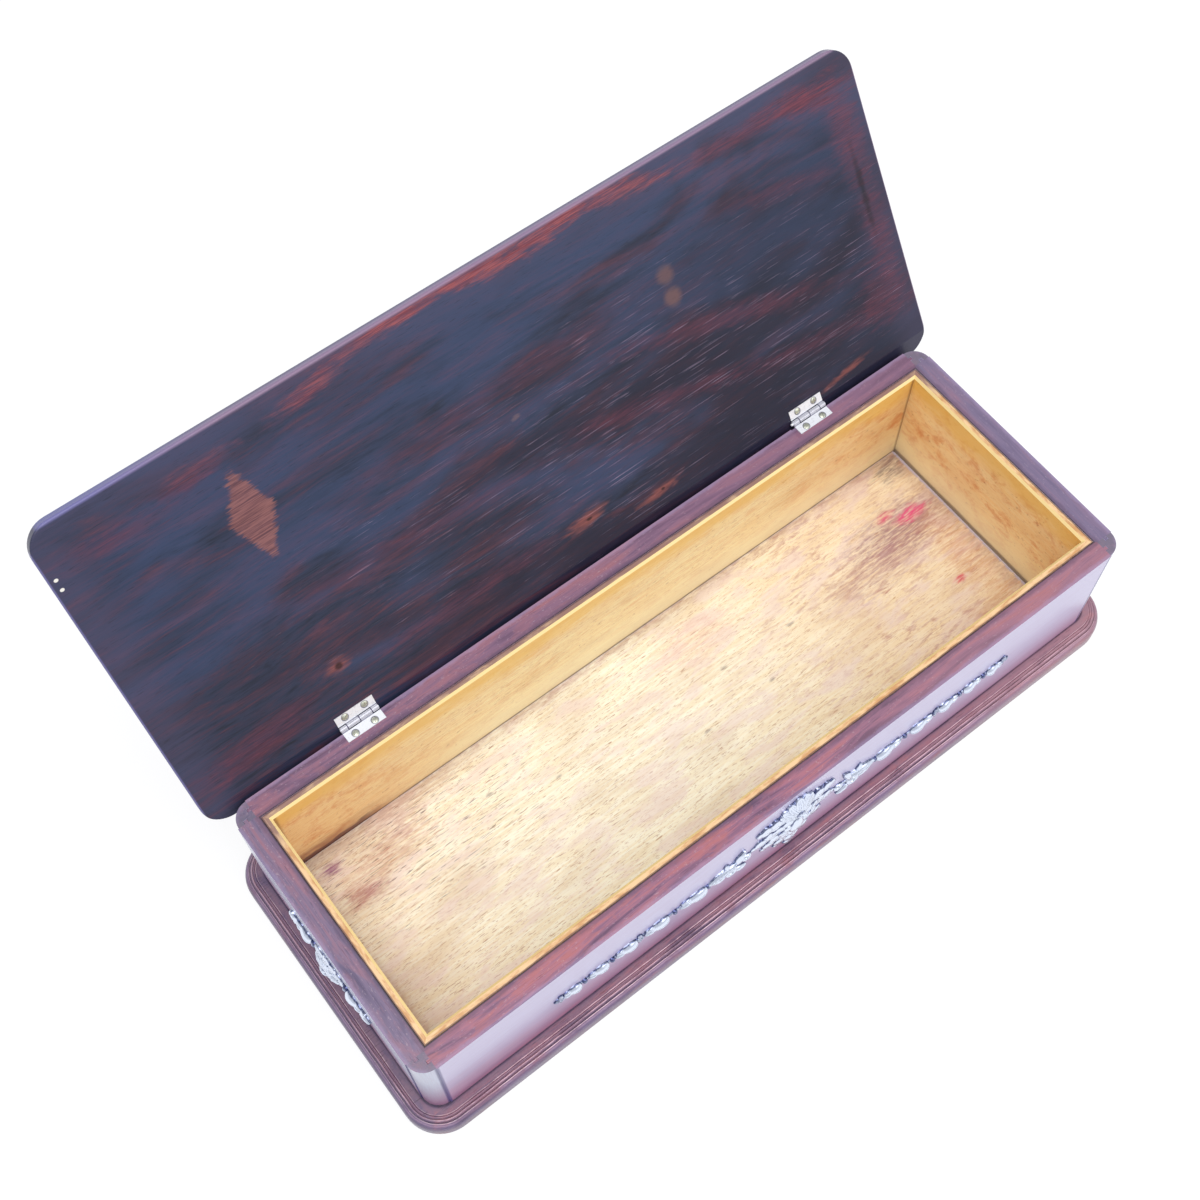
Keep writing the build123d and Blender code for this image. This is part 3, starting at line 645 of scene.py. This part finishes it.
def lining_wood(name, axis, seed, base, shade):
    """Wood of the linings, in two pale colours, with blotches, a yellow top and a dirty foot, painted light
    low down away from the left end and a painted highlight on the chamfer of the top.
    """
    shader = Shader(name)
    place = shader.object_mm()
    colour, dashes = pale_wood(shader, place, axis, base, shade, linear(184, 122, 62), seed, 0.35)
    x, y, height = shader.split(place)
    ends = shader.span(shader.absolute(x), 60, 165, 0.45)
    colour = shader.tint(colour, ends, 240, 190, 118)
    blotch = shader.noise(place, along_grain(axis, 12, 8), 6, 0.72, 0.3, seed + 7)
    strong = shader.span(shader.absolute(x), 90, 176, 0.8, 0.25)
    blotch = shader.times(shader.span(blotch, 0.46, 0.7), strong)
    colour = shader.tint(colour, blotch, 216, 132, 66)
    spots = shader.noise(place, along_grain(axis, 3.2, 1.6), 4, 0.7, 0.6, seed + 8)
    spot_share = shader.times(shader.span(spots, 0.6, 0.7), 0.6)
    colour = shader.tint(colour, spot_share, 160, 84, 44)
    # painted light, lifting the lower part of the linings away from the left end
    painted_foot_light = shader.times(shader.span(height, 44, 16), shader.span(x, -150, -60, 0.75))
    colour = shader.tint(colour, painted_foot_light, 255, 246, 206)
    smudge = shader.noise(place, along_grain(axis, 24, 8), 3, 0.6, 0, seed + 6)
    level = shader.plus(height, shader.sway(smudge, 22))
    colour = shader.tint(colour, shader.span(level, 58, 74, 0.75), 240, 190, 80)
    near_left = shader.span(x, -110, -165, 1, 0.08)
    foot = shader.times(shader.span(level, 30, 13), near_left)
    colour = shader.tint(colour, foot, 156, 92, 62)
    line = shader.plus(height, shader.times(smudge, 2))
    at_floor = shader.span(line, FLOOR_TOP_MM + 2.7, FLOOR_TOP_MM + 0.9, 0.55)
    colour = shader.tint(colour, at_floor, 120, 74, 52)
    line = shader.minus(height, shader.times(shader.span(smudge, 0.4, 0.7), 4))
    line = shader.span(line, FLOOR_TOP_MM + 3, FLOOR_TOP_MM + 1)
    line = shader.times(line, shader.span(near_left, 0.3, 0.8))
    colour = shader.tint(colour, shader.times(line, 0.85), 92, 44, 42)
    # dark mitres at the ends of the long ones
    gap = shader.span(shader.absolute(x), 176.2, 177.8, 0.6 if axis == 0 else 0)
    colour = shader.tint(colour, gap, 110, 66, 44)
    # flat top, with the dark seam to the wall and the dirt on the back one
    facing = shader.split(shader.normal())[2]
    level_top = shader.span(facing, 0.85, 0.97)
    patchy = shader.noise(place, along_grain(axis, 12, 3), 4, 0.65, 0, seed + 9)
    top = shader.mix(shader.span(patchy, 0.4, 0.62), linear(240, 200, 150), linear(206, 152, 98))
    dirt = shader.times(shader.span(y, 40, 50), shader.span(patchy, 0.34, 0.5, 0.85, 0.5))
    top = shader.tint(top, dirt, 140, 104, 100)
    outer = shader.plus(shader.case_inset(place), shader.times(patchy, 0.6))
    at_wall = shader.span(outer, -WALL_MM - 0.55, -WALL_MM - 0.2, 0.8)
    top = shader.tint(top, at_wall, 98, 66, 72)
    colour = shader.mix(level_top, colour, top)
    # painted highlight on the chamfer along the top
    chamfer_highlight = shader.times(shader.span(facing, 0.4, 0.6), shader.span(facing, 0.9, 0.8))
    colour = shader.tint(colour, chamfer_highlight, 248, 220, 154)
    shader.set(Base_Color=colour, Roughness=0.45, Coat_Weight=0.25, Coat_Roughness=0.25)
    shader.set(Normal=shader.bump(dashes, FLECK_BUMP))
    return shader.material


dress(
    lining_wood("lining_long", 0, 41, linear(252, 236, 188), linear(246, 218, 162)),
    "lining_front", "lining_back",
)
dress(
    lining_wood("lining_short", 1, 51, linear(255, 240, 194), linear(254, 226, 172)),
    "lining_left", "lining_right",
)

# Stains on the floor: place and half sizes in mm, colour and strength
STAINS = (
    (152, 20, 26, 11, (146, 98, 116), 0.75),
    (128, 10, 30, 9, (172, 122, 126), 0.6),
    (166, -8, 9, 26, (206, 140, 92), 0.5),
    (160, -40, 16, 8, (206, 150, 104), 0.45),
    (159, 23, 8, 3.2, (232, 62, 132), 0.95),
    (148, 29, 5, 2.2, (222, 92, 128), 0.85),
    (154, -18.5, 3, 1.5, (214, 60, 88), 0.9),
    (-168, 45, 4.5, 2.6, (142, 70, 128), 0.9),
    (-160, 26.5, 10, 4, (168, 100, 104), 0.75),
    (-136, 40, 12, 4, (176, 116, 104), 0.6),
    (-150, 34, 26, 5, (196, 140, 116), 0.45),
    (30, 34, 20, 9, (216, 160, 150), 0.35),
    (-91, 31, 1.6, 0.8, (110, 96, 104), 0.5),
    (-61, 18.5, 1.6, 0.7, (110, 96, 104), 0.5),
    (33, 14.5, 1.8, 0.7, (110, 96, 104), 0.5),
    (7, -5.5, 1.6, 0.7, (110, 96, 104), 0.5),
    (73, 12.8, 1.8, 0.7, (110, 96, 104), 0.5),
    (47.5, -4, 1.5, 0.7, (110, 96, 104), 0.5),
    (172, 50, 12, 7, (104, 84, 88), 0.8),
    (-130, 50, 34, 5, (176, 120, 92), 0.5),
    (-176, -30, 3, 26, (190, 140, 100), 0.4),
    (-172, -50, 14, 6, (190, 136, 100), 0.45),
)


def floor_wood():
    """Bare pale wood of the floor: whiter on the left, mottled on the right, stained and dirty at its rim."""
    shader = Shader("floor_bare")
    place = shader.object_mm()
    fleck = linear(176, 132, 100)
    colour, dashes = pale_wood(shader, place, 0, linear(250, 248, 230), linear(242, 232, 204), fleck, 61)
    rag_noise = shader.noise(place, (6, 2.2, 2.2), 5, 0.66, 0.3, 63)
    rag = shader.sway(rag_noise, 2.6)
    x, y = shader.split(place)[:2]
    zone = shader.span(x, -20, 130)
    colour = shader.tint(colour, shader.times(zone, 0.4), 240, 204, 150)
    mottle = shader.noise(place, (11, 2.6, 2.6), 5, 0.7, 0.5, 65)
    patch = shader.span(shader.noise(place, (40, 16, 16), 3, 0.5, 0.3, 67), 0.42, 0.6, 1, 0.35)
    mottle = shader.span(mottle, 0.47, 0.68, 0.75)
    colour = shader.tint(colour, shader.times(shader.times(zone, patch), mottle), 186, 132, 122)
    streaky = shader.span(shader.noise(place, (9, 1.1, 1.1), 4, 0.66, 0.4, 69), 0.36, 0.6, 1, 0.25)
    tint = shader.span(shader.noise(place, (24, 9, 9), 4, 0.6, 0.3, 77), 0.46, 0.64, 0.5)
    colour = shader.tint(colour, tint, 232, 212, 210)
    for across, along, half_x, half_y, paint, strength in STAINS:
        grain = streaky if half_y > 1 else None
        spot = ((across, along), (half_x, half_y), linear(*paint))
        colour = shader.spot(colour, place, *spot, strength, 0, 0.7, rag, grain=grain)
    scratch = shader.noise(place, (7, 0.45, 0.45), 1, 0.4, 0.1, 75)
    worn_part = shader.spot_share(place, (-130, 34), (60, 30), 0.5, rag)
    scratches = shader.times(shader.span(scratch, 0.36, 0.3), worn_part)
    colour = shader.tint(colour, shader.times(scratches, 0.75), 96, 66, 62)
    rim = shader.most(shader.span(x, 166, 178), shader.span(x, -172, -179))
    rim = shader.most(rim, shader.span(y, 48, 56))
    rim = shader.times(rim, shader.span(rag_noise, 0.35, 0.65, 0.7, 0.15))
    colour = shader.tint(colour, rim, 172, 126, 104)
    # grey dust at the right end and along the back
    past = shader.plus(x, shader.times(rag_noise, 1.4))
    right_end = shader.span(past, 176.4, 177)
    strip = shader.most(right_end, shader.times(shader.span(y, 54.4, 55.2), 0.5))
    strip = shader.times(strip, shader.span(rag_noise, 0.34, 0.56, 1, 0.4))
    colour = shader.tint(colour, shader.times(strip, 0.8), 186, 180, 200)
    shader.set(Base_Color=colour, Roughness=0.6)
    shader.set(Normal=shader.bump(dashes, FLECK_BUMP))
    return shader.material


dress(floor_wood(), "floor_panel")


# Metal

# Size of the spots on metal in mm
METAL_SPOT = (1.2, 1.2, 1.2)


def metal(name, bright, grime, rough):
    shader = Shader(name)
    place = shader.object_mm()
    spots = shader.noise(place, METAL_SPOT, 4, 0.6, seed=71)
    colour = shader.mix(shader.span(spots, 0.52, 0.72, 0.6), bright, grime)
    shader.set(Base_Color=colour, Metallic=1, Roughness=rough)
    return shader.material


def cast_silver():
    """Bright on the ridges, with painted shade down the sides and edges of the forms, and dark with tarnish
    in the furrows.
    """
    shader = Shader("silver_cast")
    place = shader.object_mm()
    wear_and_shade = shader.node("Attribute", attribute_name="wear_and_shade").outputs["Fac"]
    spots = shader.noise(place, (1, 1, 1), 3, 0.6, seed=73)
    level = shader.plus(wear_and_shade, shader.sway(spots, 0.7))
    colour = shader.mix(shader.span(level, 0.15, 0.75), linear(84, 90, 130), linear(224, 232, 248))
    shader.set(Base_Color=colour, Metallic=1, Roughness=0.26)
    return shader.material


# Hinges in mm: their middle, half the space between two screws, the screws' distance from the axis, the
# radius of the dirt round a screw, the barrel's radius and the middle of the gap beside an end knuckle
HINGE_MIDDLE = 125.3
SCREW_STEP = 4.9
SCREW_REACH = 4.3
SCREW_RING = 1.65
BARREL = 1.36
KNUCKLE_GAP = 6.13


def plate_metal():
    """Plated hinge steel with dark gaps between its knuckles and dirt round its screws."""
    shader = Shader("hinge_plate")
    place = shader.object_mm()
    spots = shader.noise(place, METAL_SPOT, 4, 0.6, seed=71)
    spots = shader.span(spots, 0.54, 0.74, 0.45)
    colour = shader.mix(spots, linear(250, 251, 255), linear(170, 164, 172))
    offset = shader.vector("SUBTRACT", place, (0, hinge_point[1] / MM, hinge_point[2] / MM))
    away = shader.vector("LENGTH", shader.vector("MULTIPLY", offset, (0, 1, 1)))
    along = shader.minus(shader.absolute(shader.split(place)[0]), HINGE_MIDDLE)
    along = shader.absolute(along)
    gap = shader.least(along, shader.absolute(shader.minus(along, KNUCKLE_GAP)))
    gap = shader.times(shader.span(gap, 0.34, 0.14), shader.span(away, BARREL + 0.25, BARREL))
    u = shader.minus(along, SCREW_STEP)
    v = shader.minus(away, SCREW_REACH)
    ring = shader.math("SQRT", shader.plus(shader.times(u, u), shader.times(v, v)))
    ring = shader.span(ring, SCREW_RING + 0.35, SCREW_RING, 0.8)
    foot = shader.absolute(shader.minus(away, BARREL + 0.12))
    foot = shader.span(foot, 0.3, 0.1, 0.7)
    dark = shader.most(shader.most(gap, ring), foot)
    colour = shader.tint(colour, dark, 62, 52, 96)
    shader.set(Base_Color=colour, Metallic=0.45, Roughness=0.36)
    return shader.material


silver = cast_silver()
hinge_metal = plate_metal()
brass = metal("screw_brass", linear(206, 208, 192), linear(128, 126, 110), 0.42)
steel = metal("screw_steel", linear(150, 150, 152), linear(90, 84, 80), 0.45)
for side in ("left", "right"):
    dress(hinge_metal, *[f"hinge_{side}_{part}" for part in ("box_leaf", "lid_leaf", "pin")])
    dress(brass, *[f"hinge_{side}_{part}_screws" for part in ("box", "lid")])
dress(steel, "base_screws")


# Silver castings, drawn lying on U and V with the relief along W, in millimetres

# Place of the flat back along W, and how bright the skirt down to it is, darkened as painted shade
BACK_MM = -0.15
SKIRT_SHADED = 0.25
# Leaves: half width at the ends, least relief, space between two side veins and width of a notch
LEAF_END = 0.12
LEAST_RELIEF = 0.05
VEIN_STEP = 2.6
NOTCH = 0.13


class Casting:
    """Mesh of a flat-backed casting, built from leaves, domes and rings on both sides of U = 0."""

    def __init__(self):
        self.points = []
        self.faces = []
        self.wear_and_shade = []

    def add_grid(self, grid, wear_and_shade, flip=False):
        """Adds a relief surface of rows and columns of points, with a skirt down to the flat back."""
        rows, columns = grid.shape[:2]
        start = len(self.points)
        self.points += [tuple(p) for p in grid.reshape(-1, 3)]
        self.wear_and_shade += list(wear_and_shade.reshape(-1))
        faces = []
        for i in range(rows - 1):
            for a in range(start + i * columns, start + (i + 1) * columns - 1):
                faces.append((a, a + columns, a + columns + 1, a + 1))
        rim = [start + j for j in range(columns)]
        rim += [start + i * columns + columns - 1 for i in range(1, rows)]
        rim += [start + (rows - 1) * columns + j for j in range(columns - 2, -1, -1)]
        rim += [start + i * columns for i in range(rows - 2, 0, -1)]
        foot = len(self.points)
        self.points += [(self.points[k][0], self.points[k][1], BACK_MM) for k in rim]
        self.wear_and_shade += [SKIRT_SHADED] * len(rim)
        count = len(rim)
        for k in range(count):
            n = (k + 1) % count
            faces.append((rim[k], rim[n], foot + n, foot + k))
        self.faces += [face[::-1] for face in faces] if flip else faces

    def leaf(self, u, v, angle, length, width, height, ribs=2, groove=0.35, base=0, lift=0, curl=0,
             full=0.85, blunt=0.75, bright=1, soft=0.7, lobes=0, single=False):
        """Ribbed leaf from (u, v) along an angle.

        curl bends its line, lift raises its tip, full and blunt shape its outline, soft rounds its crown and
        lobes notch its edge."""
        rows = 8 * lobes + 17
        t = np.linspace(0, 1, rows)[:, None]
        s = np.array((-1, -0.93, -0.8, -0.6, -0.35, -0.12, 0, 0.12, 0.35, 0.6, 0.8, 0.93, 1))[None, :]
        turn = math.radians(angle) + math.radians(curl) * t
        step = length / (rows - 1)
        along_u = u + np.concatenate([[0], np.cumsum(np.cos(turn[:-1, 0])) * step])[:, None]
        along_v = v + np.concatenate([[0], np.cumsum(np.sin(turn[:-1, 0])) * step])[:, None]
        half = 0.5 * width * np.maximum(np.sin(math.pi * t**full), 0) ** blunt + LEAF_END
        phase = (lobes * t - 0.3 * np.abs(s)) % 1 - 0.5
        notch = np.exp(-((phase / NOTCH) ** 2)) * (t < 0.9) if lobes else 0 * t
        half = half * (1 - 0.3 * notch.max(axis=1, keepdims=True) * (t > 0.15))
        crown = (1 - s**2) ** soft * (0.25 + 0.75 * np.sin(math.pi * t**0.8).clip(0) ** 0.6)
        furrow = np.cos(math.pi * ribs * s)
        vein = np.cos(2 * math.pi * (length / VEIN_STEP * t - 0.9 * np.abs(s)))
        fade = np.sin(math.pi * t).clip(0)
        relief = height * crown + groove * fade * (furrow * 0.7 + vein * 0.3) * (1 - s**2)
        middle = groove * np.exp(-((s / 0.14) ** 2)) * fade
        w = base + lift * t**2 + relief - 1.6 * middle - 0.3 * height * notch * np.abs(s)
        grid = np.stack([
            along_u - np.sin(turn) * s * half,
            along_v + np.cos(turn) * s * half,
            np.maximum(w, LEAST_RELIEF),
        ], axis=-1)
        lined = 0.6 if ribs > 1 else 0.3
        tarnish = 0.7 * (furrow < -0.4) * (fade > 0.25) + 0.9 * np.exp(-((s / 0.1) ** 2)) * (fade > 0.2)
        wear_and_shade = np.clip(1.0 - lined * tarnish - 0.5 * notch * (np.abs(s) > 0.3), 0, 1)
        # painted shade at the ends and along the edges of the leaf
        border = np.clip(t * 9, 0, 1) * np.clip((1 - t) * 14, 0, 1) * (np.abs(s) < 0.9)
        border = 0.3 + 0.7 * border + 0.15 * (np.abs(s) > 0.96)
        wear_and_shade = bright * np.clip(wear_and_shade * border, 0, 1)
        self.keep(grid, wear_and_shade, single)

    def keep(self, grid, wear_and_shade, single=False):
        """Adds a relief and, unless it is single, its image on the other side of the middle."""
        self.add_grid(grid, wear_and_shade)
        if not single:
            self.add_grid(grid * np.array((-1, 1, 1)), wear_and_shade, flip=True)

    def dome(self, u, v, radius, height, base=0, lines=0, bright=1, single=False):
        """Boss or bead, with optional lines from its middle."""
        rise = np.linspace(0, math.pi / 2, 7)[:, None]
        round_ = np.linspace(0, 2 * math.pi, 21)[None, :]
        reach = radius * np.cos(rise)
        wave = np.cos(lines * round_) * np.sin(2 * rise) if lines else np.zeros_like(reach * round_)
        top = base + height * np.sin(rise) * np.ones_like(round_) + 0.25 * wave
        grid = np.stack([u + reach * np.cos(round_), v + reach * np.sin(round_), top], axis=-1)
        # painted shade: the dome darkens down its sides
        wear_and_shade = bright * np.sin(rise) * np.ones_like(round_) * (0.7 + 0.3 * wave)
        self.keep(grid, np.clip(wear_and_shade, 0, 1), single)

    def ring(self, u, v, radius, wire, height):
        """Raised ring with an open middle."""
        across = np.linspace(0, math.pi, 7)[:, None]
        round_ = np.linspace(0, 2 * math.pi, 25)[None, :]
        reach = radius - wire * np.cos(across)
        top = height * np.sin(across) * np.ones_like(round_)
        grid = np.stack([u + reach * np.cos(round_), v + reach * np.sin(round_), top], axis=-1)
        # painted shade: the ring darkens down its sides
        wear_and_shade = (0.2 + 0.8 * np.sin(across)) * np.ones_like(round_)
        self.keep(grid[::-1], wear_and_shade[::-1])

    def piece(self, name, origin, right, out):
        """The casting as an object on a wall face: origin in metres, right and out are its U and W axes."""
        right, out = Vector(right), Vector(out)
        up = out.cross(right)
        turn = Matrix((right, up, out)).transposed().to_4x4()
        mesh = bpy.data.meshes.new(name)
        mesh.from_pydata(self.points, [], self.faces)
        mesh.transform(Matrix.Translation(origin) @ turn @ Matrix.Scale(MM, 4))
        wear_and_shade = mesh.attributes.new("wear_and_shade", "FLOAT", "POINT")
        wear_and_shade.data.foreach_set("value", np.array(self.wear_and_shade, np.float32))
        mesh.polygons.foreach_set("use_smooth", [True] * len(mesh.polygons))
        mesh.validate()
        made = add_object(name, mesh)
        mesh.set_sharp_from_angle(angle=math.radians(60))
        return made


def stem(casting, start, length, width, height):
    """Plain stalk of the chain, on both sides of the middle."""
    casting.leaf(start, 0, 0, length, width, height, 1, 0, full=1, blunt=0.25, bright=0.5)


def husk(casting, u, length, size=1):
    """Bell-flower on both sides of the middle: a full cup towards the middle and three petals outwards."""
    start = u - 0.5 * length
    for turn in (-30, 30):
        casting.leaf(u, 0, turn, 0.5 * length, 3.4 * size, 1.6 * size, 1, 0.15, 0.1, 0.5, -turn * 0.7,
                     bright=0.75)
    casting.leaf(u, 0, 0, 0.52 * length, 3.2 * size, 2.2 * size, 1, 0.2, 0.2, 0.4, bright=0.8)
    casting.leaf(start, 0, 0, 0.82 * length, 7.0 * size, 2.9 * size, 1, 0.15, 0.1, full=0.9, blunt=0.5)
    casting.leaf(start, -0.9, 0, 0.74 * length, 2.6 * size, 3.1 * size, 1, 0.1, 0.1, curl=-4, full=0.9,
                 blunt=0.5)


def sprig(casting, u, size=1):
    """Small three-lobed leaf between two lengths of the chain, on both sides of the middle."""
    for turn in (-68, 0, 68):
        casting.leaf(u, 0, turn, 5.2 * size, 2.4, 1.3, 1, 0.2, 0.1, 0.2, bright=0.45)
    casting.dome(u, 0, 1.1 * size, 1.7, bright=0.8)


def front_casting():
    """Garland of the front wall: a chain of husks on each side of scrolls and a bouquet."""
    casting = Casting()
    for low, high in ((23, 50), (50, 86), (86, 125)):
        stem(casting, low - 2, high - low + 4, 1.7, 1)
    for u, length in ((55, 15), (74.8, 13.4), (91, 11.8), (105.6, 10.8), (119.2, 9.6)):
        husk(casting, u, length, 0.84 + 0.02 * (length - 9))
    for u in (47.2, 65.2, 98.4, 112.8):
        casting.dome(u, 0, 1.5, 1.9, bright=0.55)
    sprig(casting, 82.8)
    sprig(casting, 124.2, 0.85)
    # scroll with open eyes beside the middle, its leaves given by the values of leaf() in their order
    casting.ring(34.6, -3.2, 2.6, 1, 2)
    casting.ring(41.6, -0.6, 2.1, 0.9, 1.8)
    for values in (
        (31, 3, 10, 17, 4.2, 2.4, 2, 0.3, 0.2, 0.2, -40),
        (37, -5.2, 22, 11, 2.8, 1.8, 1, 0.2, 0.1, 0.2, 20),
        (32, 1.5, 100, 11.5, 4, 2.2, 1, 0.3, 0.1, 0.6, 28),
        (33, -5, 215, 8, 3.4, 1.8, 1, 0.3, 0.1, 0.4, -30),
        (36, 3.4, 62, 7, 3, 1.8, 1, 0.3, 0.1, 0.4, 30),
    ):
        casting.leaf(*values)
    casting.ring(26, 0.2, 1.9, 0.8, 1.5)
    # broad leaves of the bouquet
    for v, angle, length, width, height, base, lobes in (
        (15, 6, 22, 11, 1.5, 0.9, 4),
        (9, -16, 25, 10, 1.5, 0.5, 4),
        (5, -40, 23, 10, 1.6, 0.5, 4),
        (1, -66, 22, 9.5, 1.6, 0.6, 3),
    ):
        casting.leaf(0, v, angle, length, width, height, 1, 0.25, base, -0.4, -6, 1.2, 0.6, soft=0.4,
                     lobes=lobes)
    casting.leaf(0, 0, -90, 28, 9, 1.8, 1, 0.25, 0.8, -0.4, full=1.2, soft=0.4, lobes=4, single=True)
    # shorter leaves over them
    for v, angle, length, width in ((12, -14, 14, 8), (7, -48, 14, 8)):
        casting.leaf(0, v, angle, length, width, 1.5, 1, 0.3, 2, -0.8, -8, 1.2, 0.6, soft=0.45,
                     lobes=3)
    casting.leaf(0, 10.5, -90, 17.5, 8, 2.2, 1, 0.2, 2.4, -0.4, full=1.05, blunt=0.6, soft=0.5, single=True)
    # shell that falls away from its boss, like the petals of a flower
    boss = 16.5
    for turn in (0, 24, 48, 72, 96, 120, 146):
        casting.leaf(0, boss, 90 - turn, 12.5 - 0.028 * turn, 5, 1.1, 2, 0.5, 3, -2.4, full=1.5,
                     blunt=0.55, soft=0.4, single=turn == 0)
    casting.dome(0, boss, 2.6, 1.7, 3.2, lines=6, single=True)
    return casting


def end_casting():
    """Mount of an end wall: a rosette with a husk and a leaf on each side."""
    casting = Casting()
    stem(casting, 6, 22, 2, 1.1)
    husk(casting, 18.5, 11.5)
    casting.dome(11.8, 0, 1.7, 2, bright=0.6)
    for turn in (-55, 0, 55):
        casting.leaf(23.8, 0, turn, 6.4, 3.4, 2, 1, 0.3, 0.1, 0.5)
    # rosette: long petals below, short ones over them and a boss
    for turn, length in (
        (90, 14), (62, 13.4), (36, 11.6), (12, 10.4), (-14, 10.6), (-40, 11.8), (-65, 13.2), (-90, 14),
    ):
        casting.leaf(0, 0, turn, length, 5.8, 1.9, 2, 0.4, 0.7, -0.5, full=1.2, single=abs(turn) == 90)
    for turn in (76, 48, 20, -8, -36, -64):
        casting.leaf(0, 0, turn, 8.6, 4.6, 2.2, 2, 0.4, 1.8, -0.6)
    casting.dome(0, 0, 3.6, 3.4, 1.5, lines=6, single=True)
    return casting


def set_castings():
    """Puts the castings where their CAD nodes are, one on the front and one on each end."""
    level = 0.045
    front, left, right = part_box("front_wall")[0].y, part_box("left_wall")[0].x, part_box("right_wall")[1].x
    ends = end_casting()
    for casting, name, origin, across, out in (
        (front_casting(), "front_garland", (0, front, level), (1, 0, 0), (0, -1, 0)),
        (ends, "left_end_mount", (left, 0, level), (0, -1, 0), (-1, 0, 0)),
        (ends, "right_end_mount", (right, 0, level), (0, 1, 0), (1, 0, 0)),
    ):
        piece = casting.piece(name + "_cast", origin, across, out)
        dress(silver, piece)
        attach(piece, "case")
        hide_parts(name)


set_castings()


# Floor, backdrop and light

STAGE_HALF = 6.0
STAGE_GLOW = 0.8
# Strength of the backdrop as light and as seen by the camera
SKY_LIGHT = 0.66
SKY_SEEN = 1.0
LAMP_AIM = (0, 0.03, 0.06)


def stage_material():
    """White to the camera and in reflections, with only a soft shadow of the object."""
    shader = Shader("studio_floor")
    shader.set(Base_Color=(0.24, 0.24, 0.245, 1), Roughness=1, Specular_IOR_Level=0)
    path = shader.node("LightPath")
    seen = shader.most(path.outputs["Is Camera Ray"], path.outputs["Is Glossy Ray"])
    seen = shader.most(seen, path.outputs["Is Transmission Ray"])
    shader.set(Emission_Color=(1, 1, 1, 1), Emission_Strength=shader.times(seen, STAGE_GLOW))
    shader.material.cycles.emission_sampling = "NONE"
    return shader.material


def add_stage():
    mesh = bpy.data.meshes.new("studio_floor")
    corners = [(x * STAGE_HALF, y * STAGE_HALF, 0) for x, y in ((-1, -1), (1, -1), (1, 1), (-1, 1))]
    mesh.from_pydata(corners, [], [(0, 1, 2, 3)])
    floor = add_object("studio_floor", mesh)
    mesh.materials.append(stage_material())
    world = bpy.data.worlds.new("studio")
    world.use_nodes = True
    back = world.node_tree.nodes["Background"]
    back.inputs["Color"].default_value = (0.93, 0.95, 1, 1)
    path = world.node_tree.nodes.new("ShaderNodeLightPath")
    join = world.node_tree.nodes.new("ShaderNodeMapRange")
    world.node_tree.links.new(path.outputs["Is Camera Ray"], join.inputs["Value"])
    join.inputs["To Min"].default_value = SKY_LIGHT
    join.inputs["To Max"].default_value = SKY_SEEN
    world.node_tree.links.new(join.outputs[0], back.inputs["Strength"])
    bpy.context.scene.world = world
    for name, place, size, watts in (
        ("key", (-0.35, -0.35, 2), 1.5, 22),
        ("fill", (0.9, -1.3, 1.2), 1.2, 9),
    ):
        data = bpy.data.lights.new(name, "AREA")
        data.size = size
        data.energy = watts
        lamp = add_object(name, data)
        aim = Vector(LAMP_AIM) - Vector(place)
        lamp.matrix_world = Matrix.Translation(place) @ aim.to_track_quat("-Z", "Y").to_matrix().to_4x4()


add_stage()
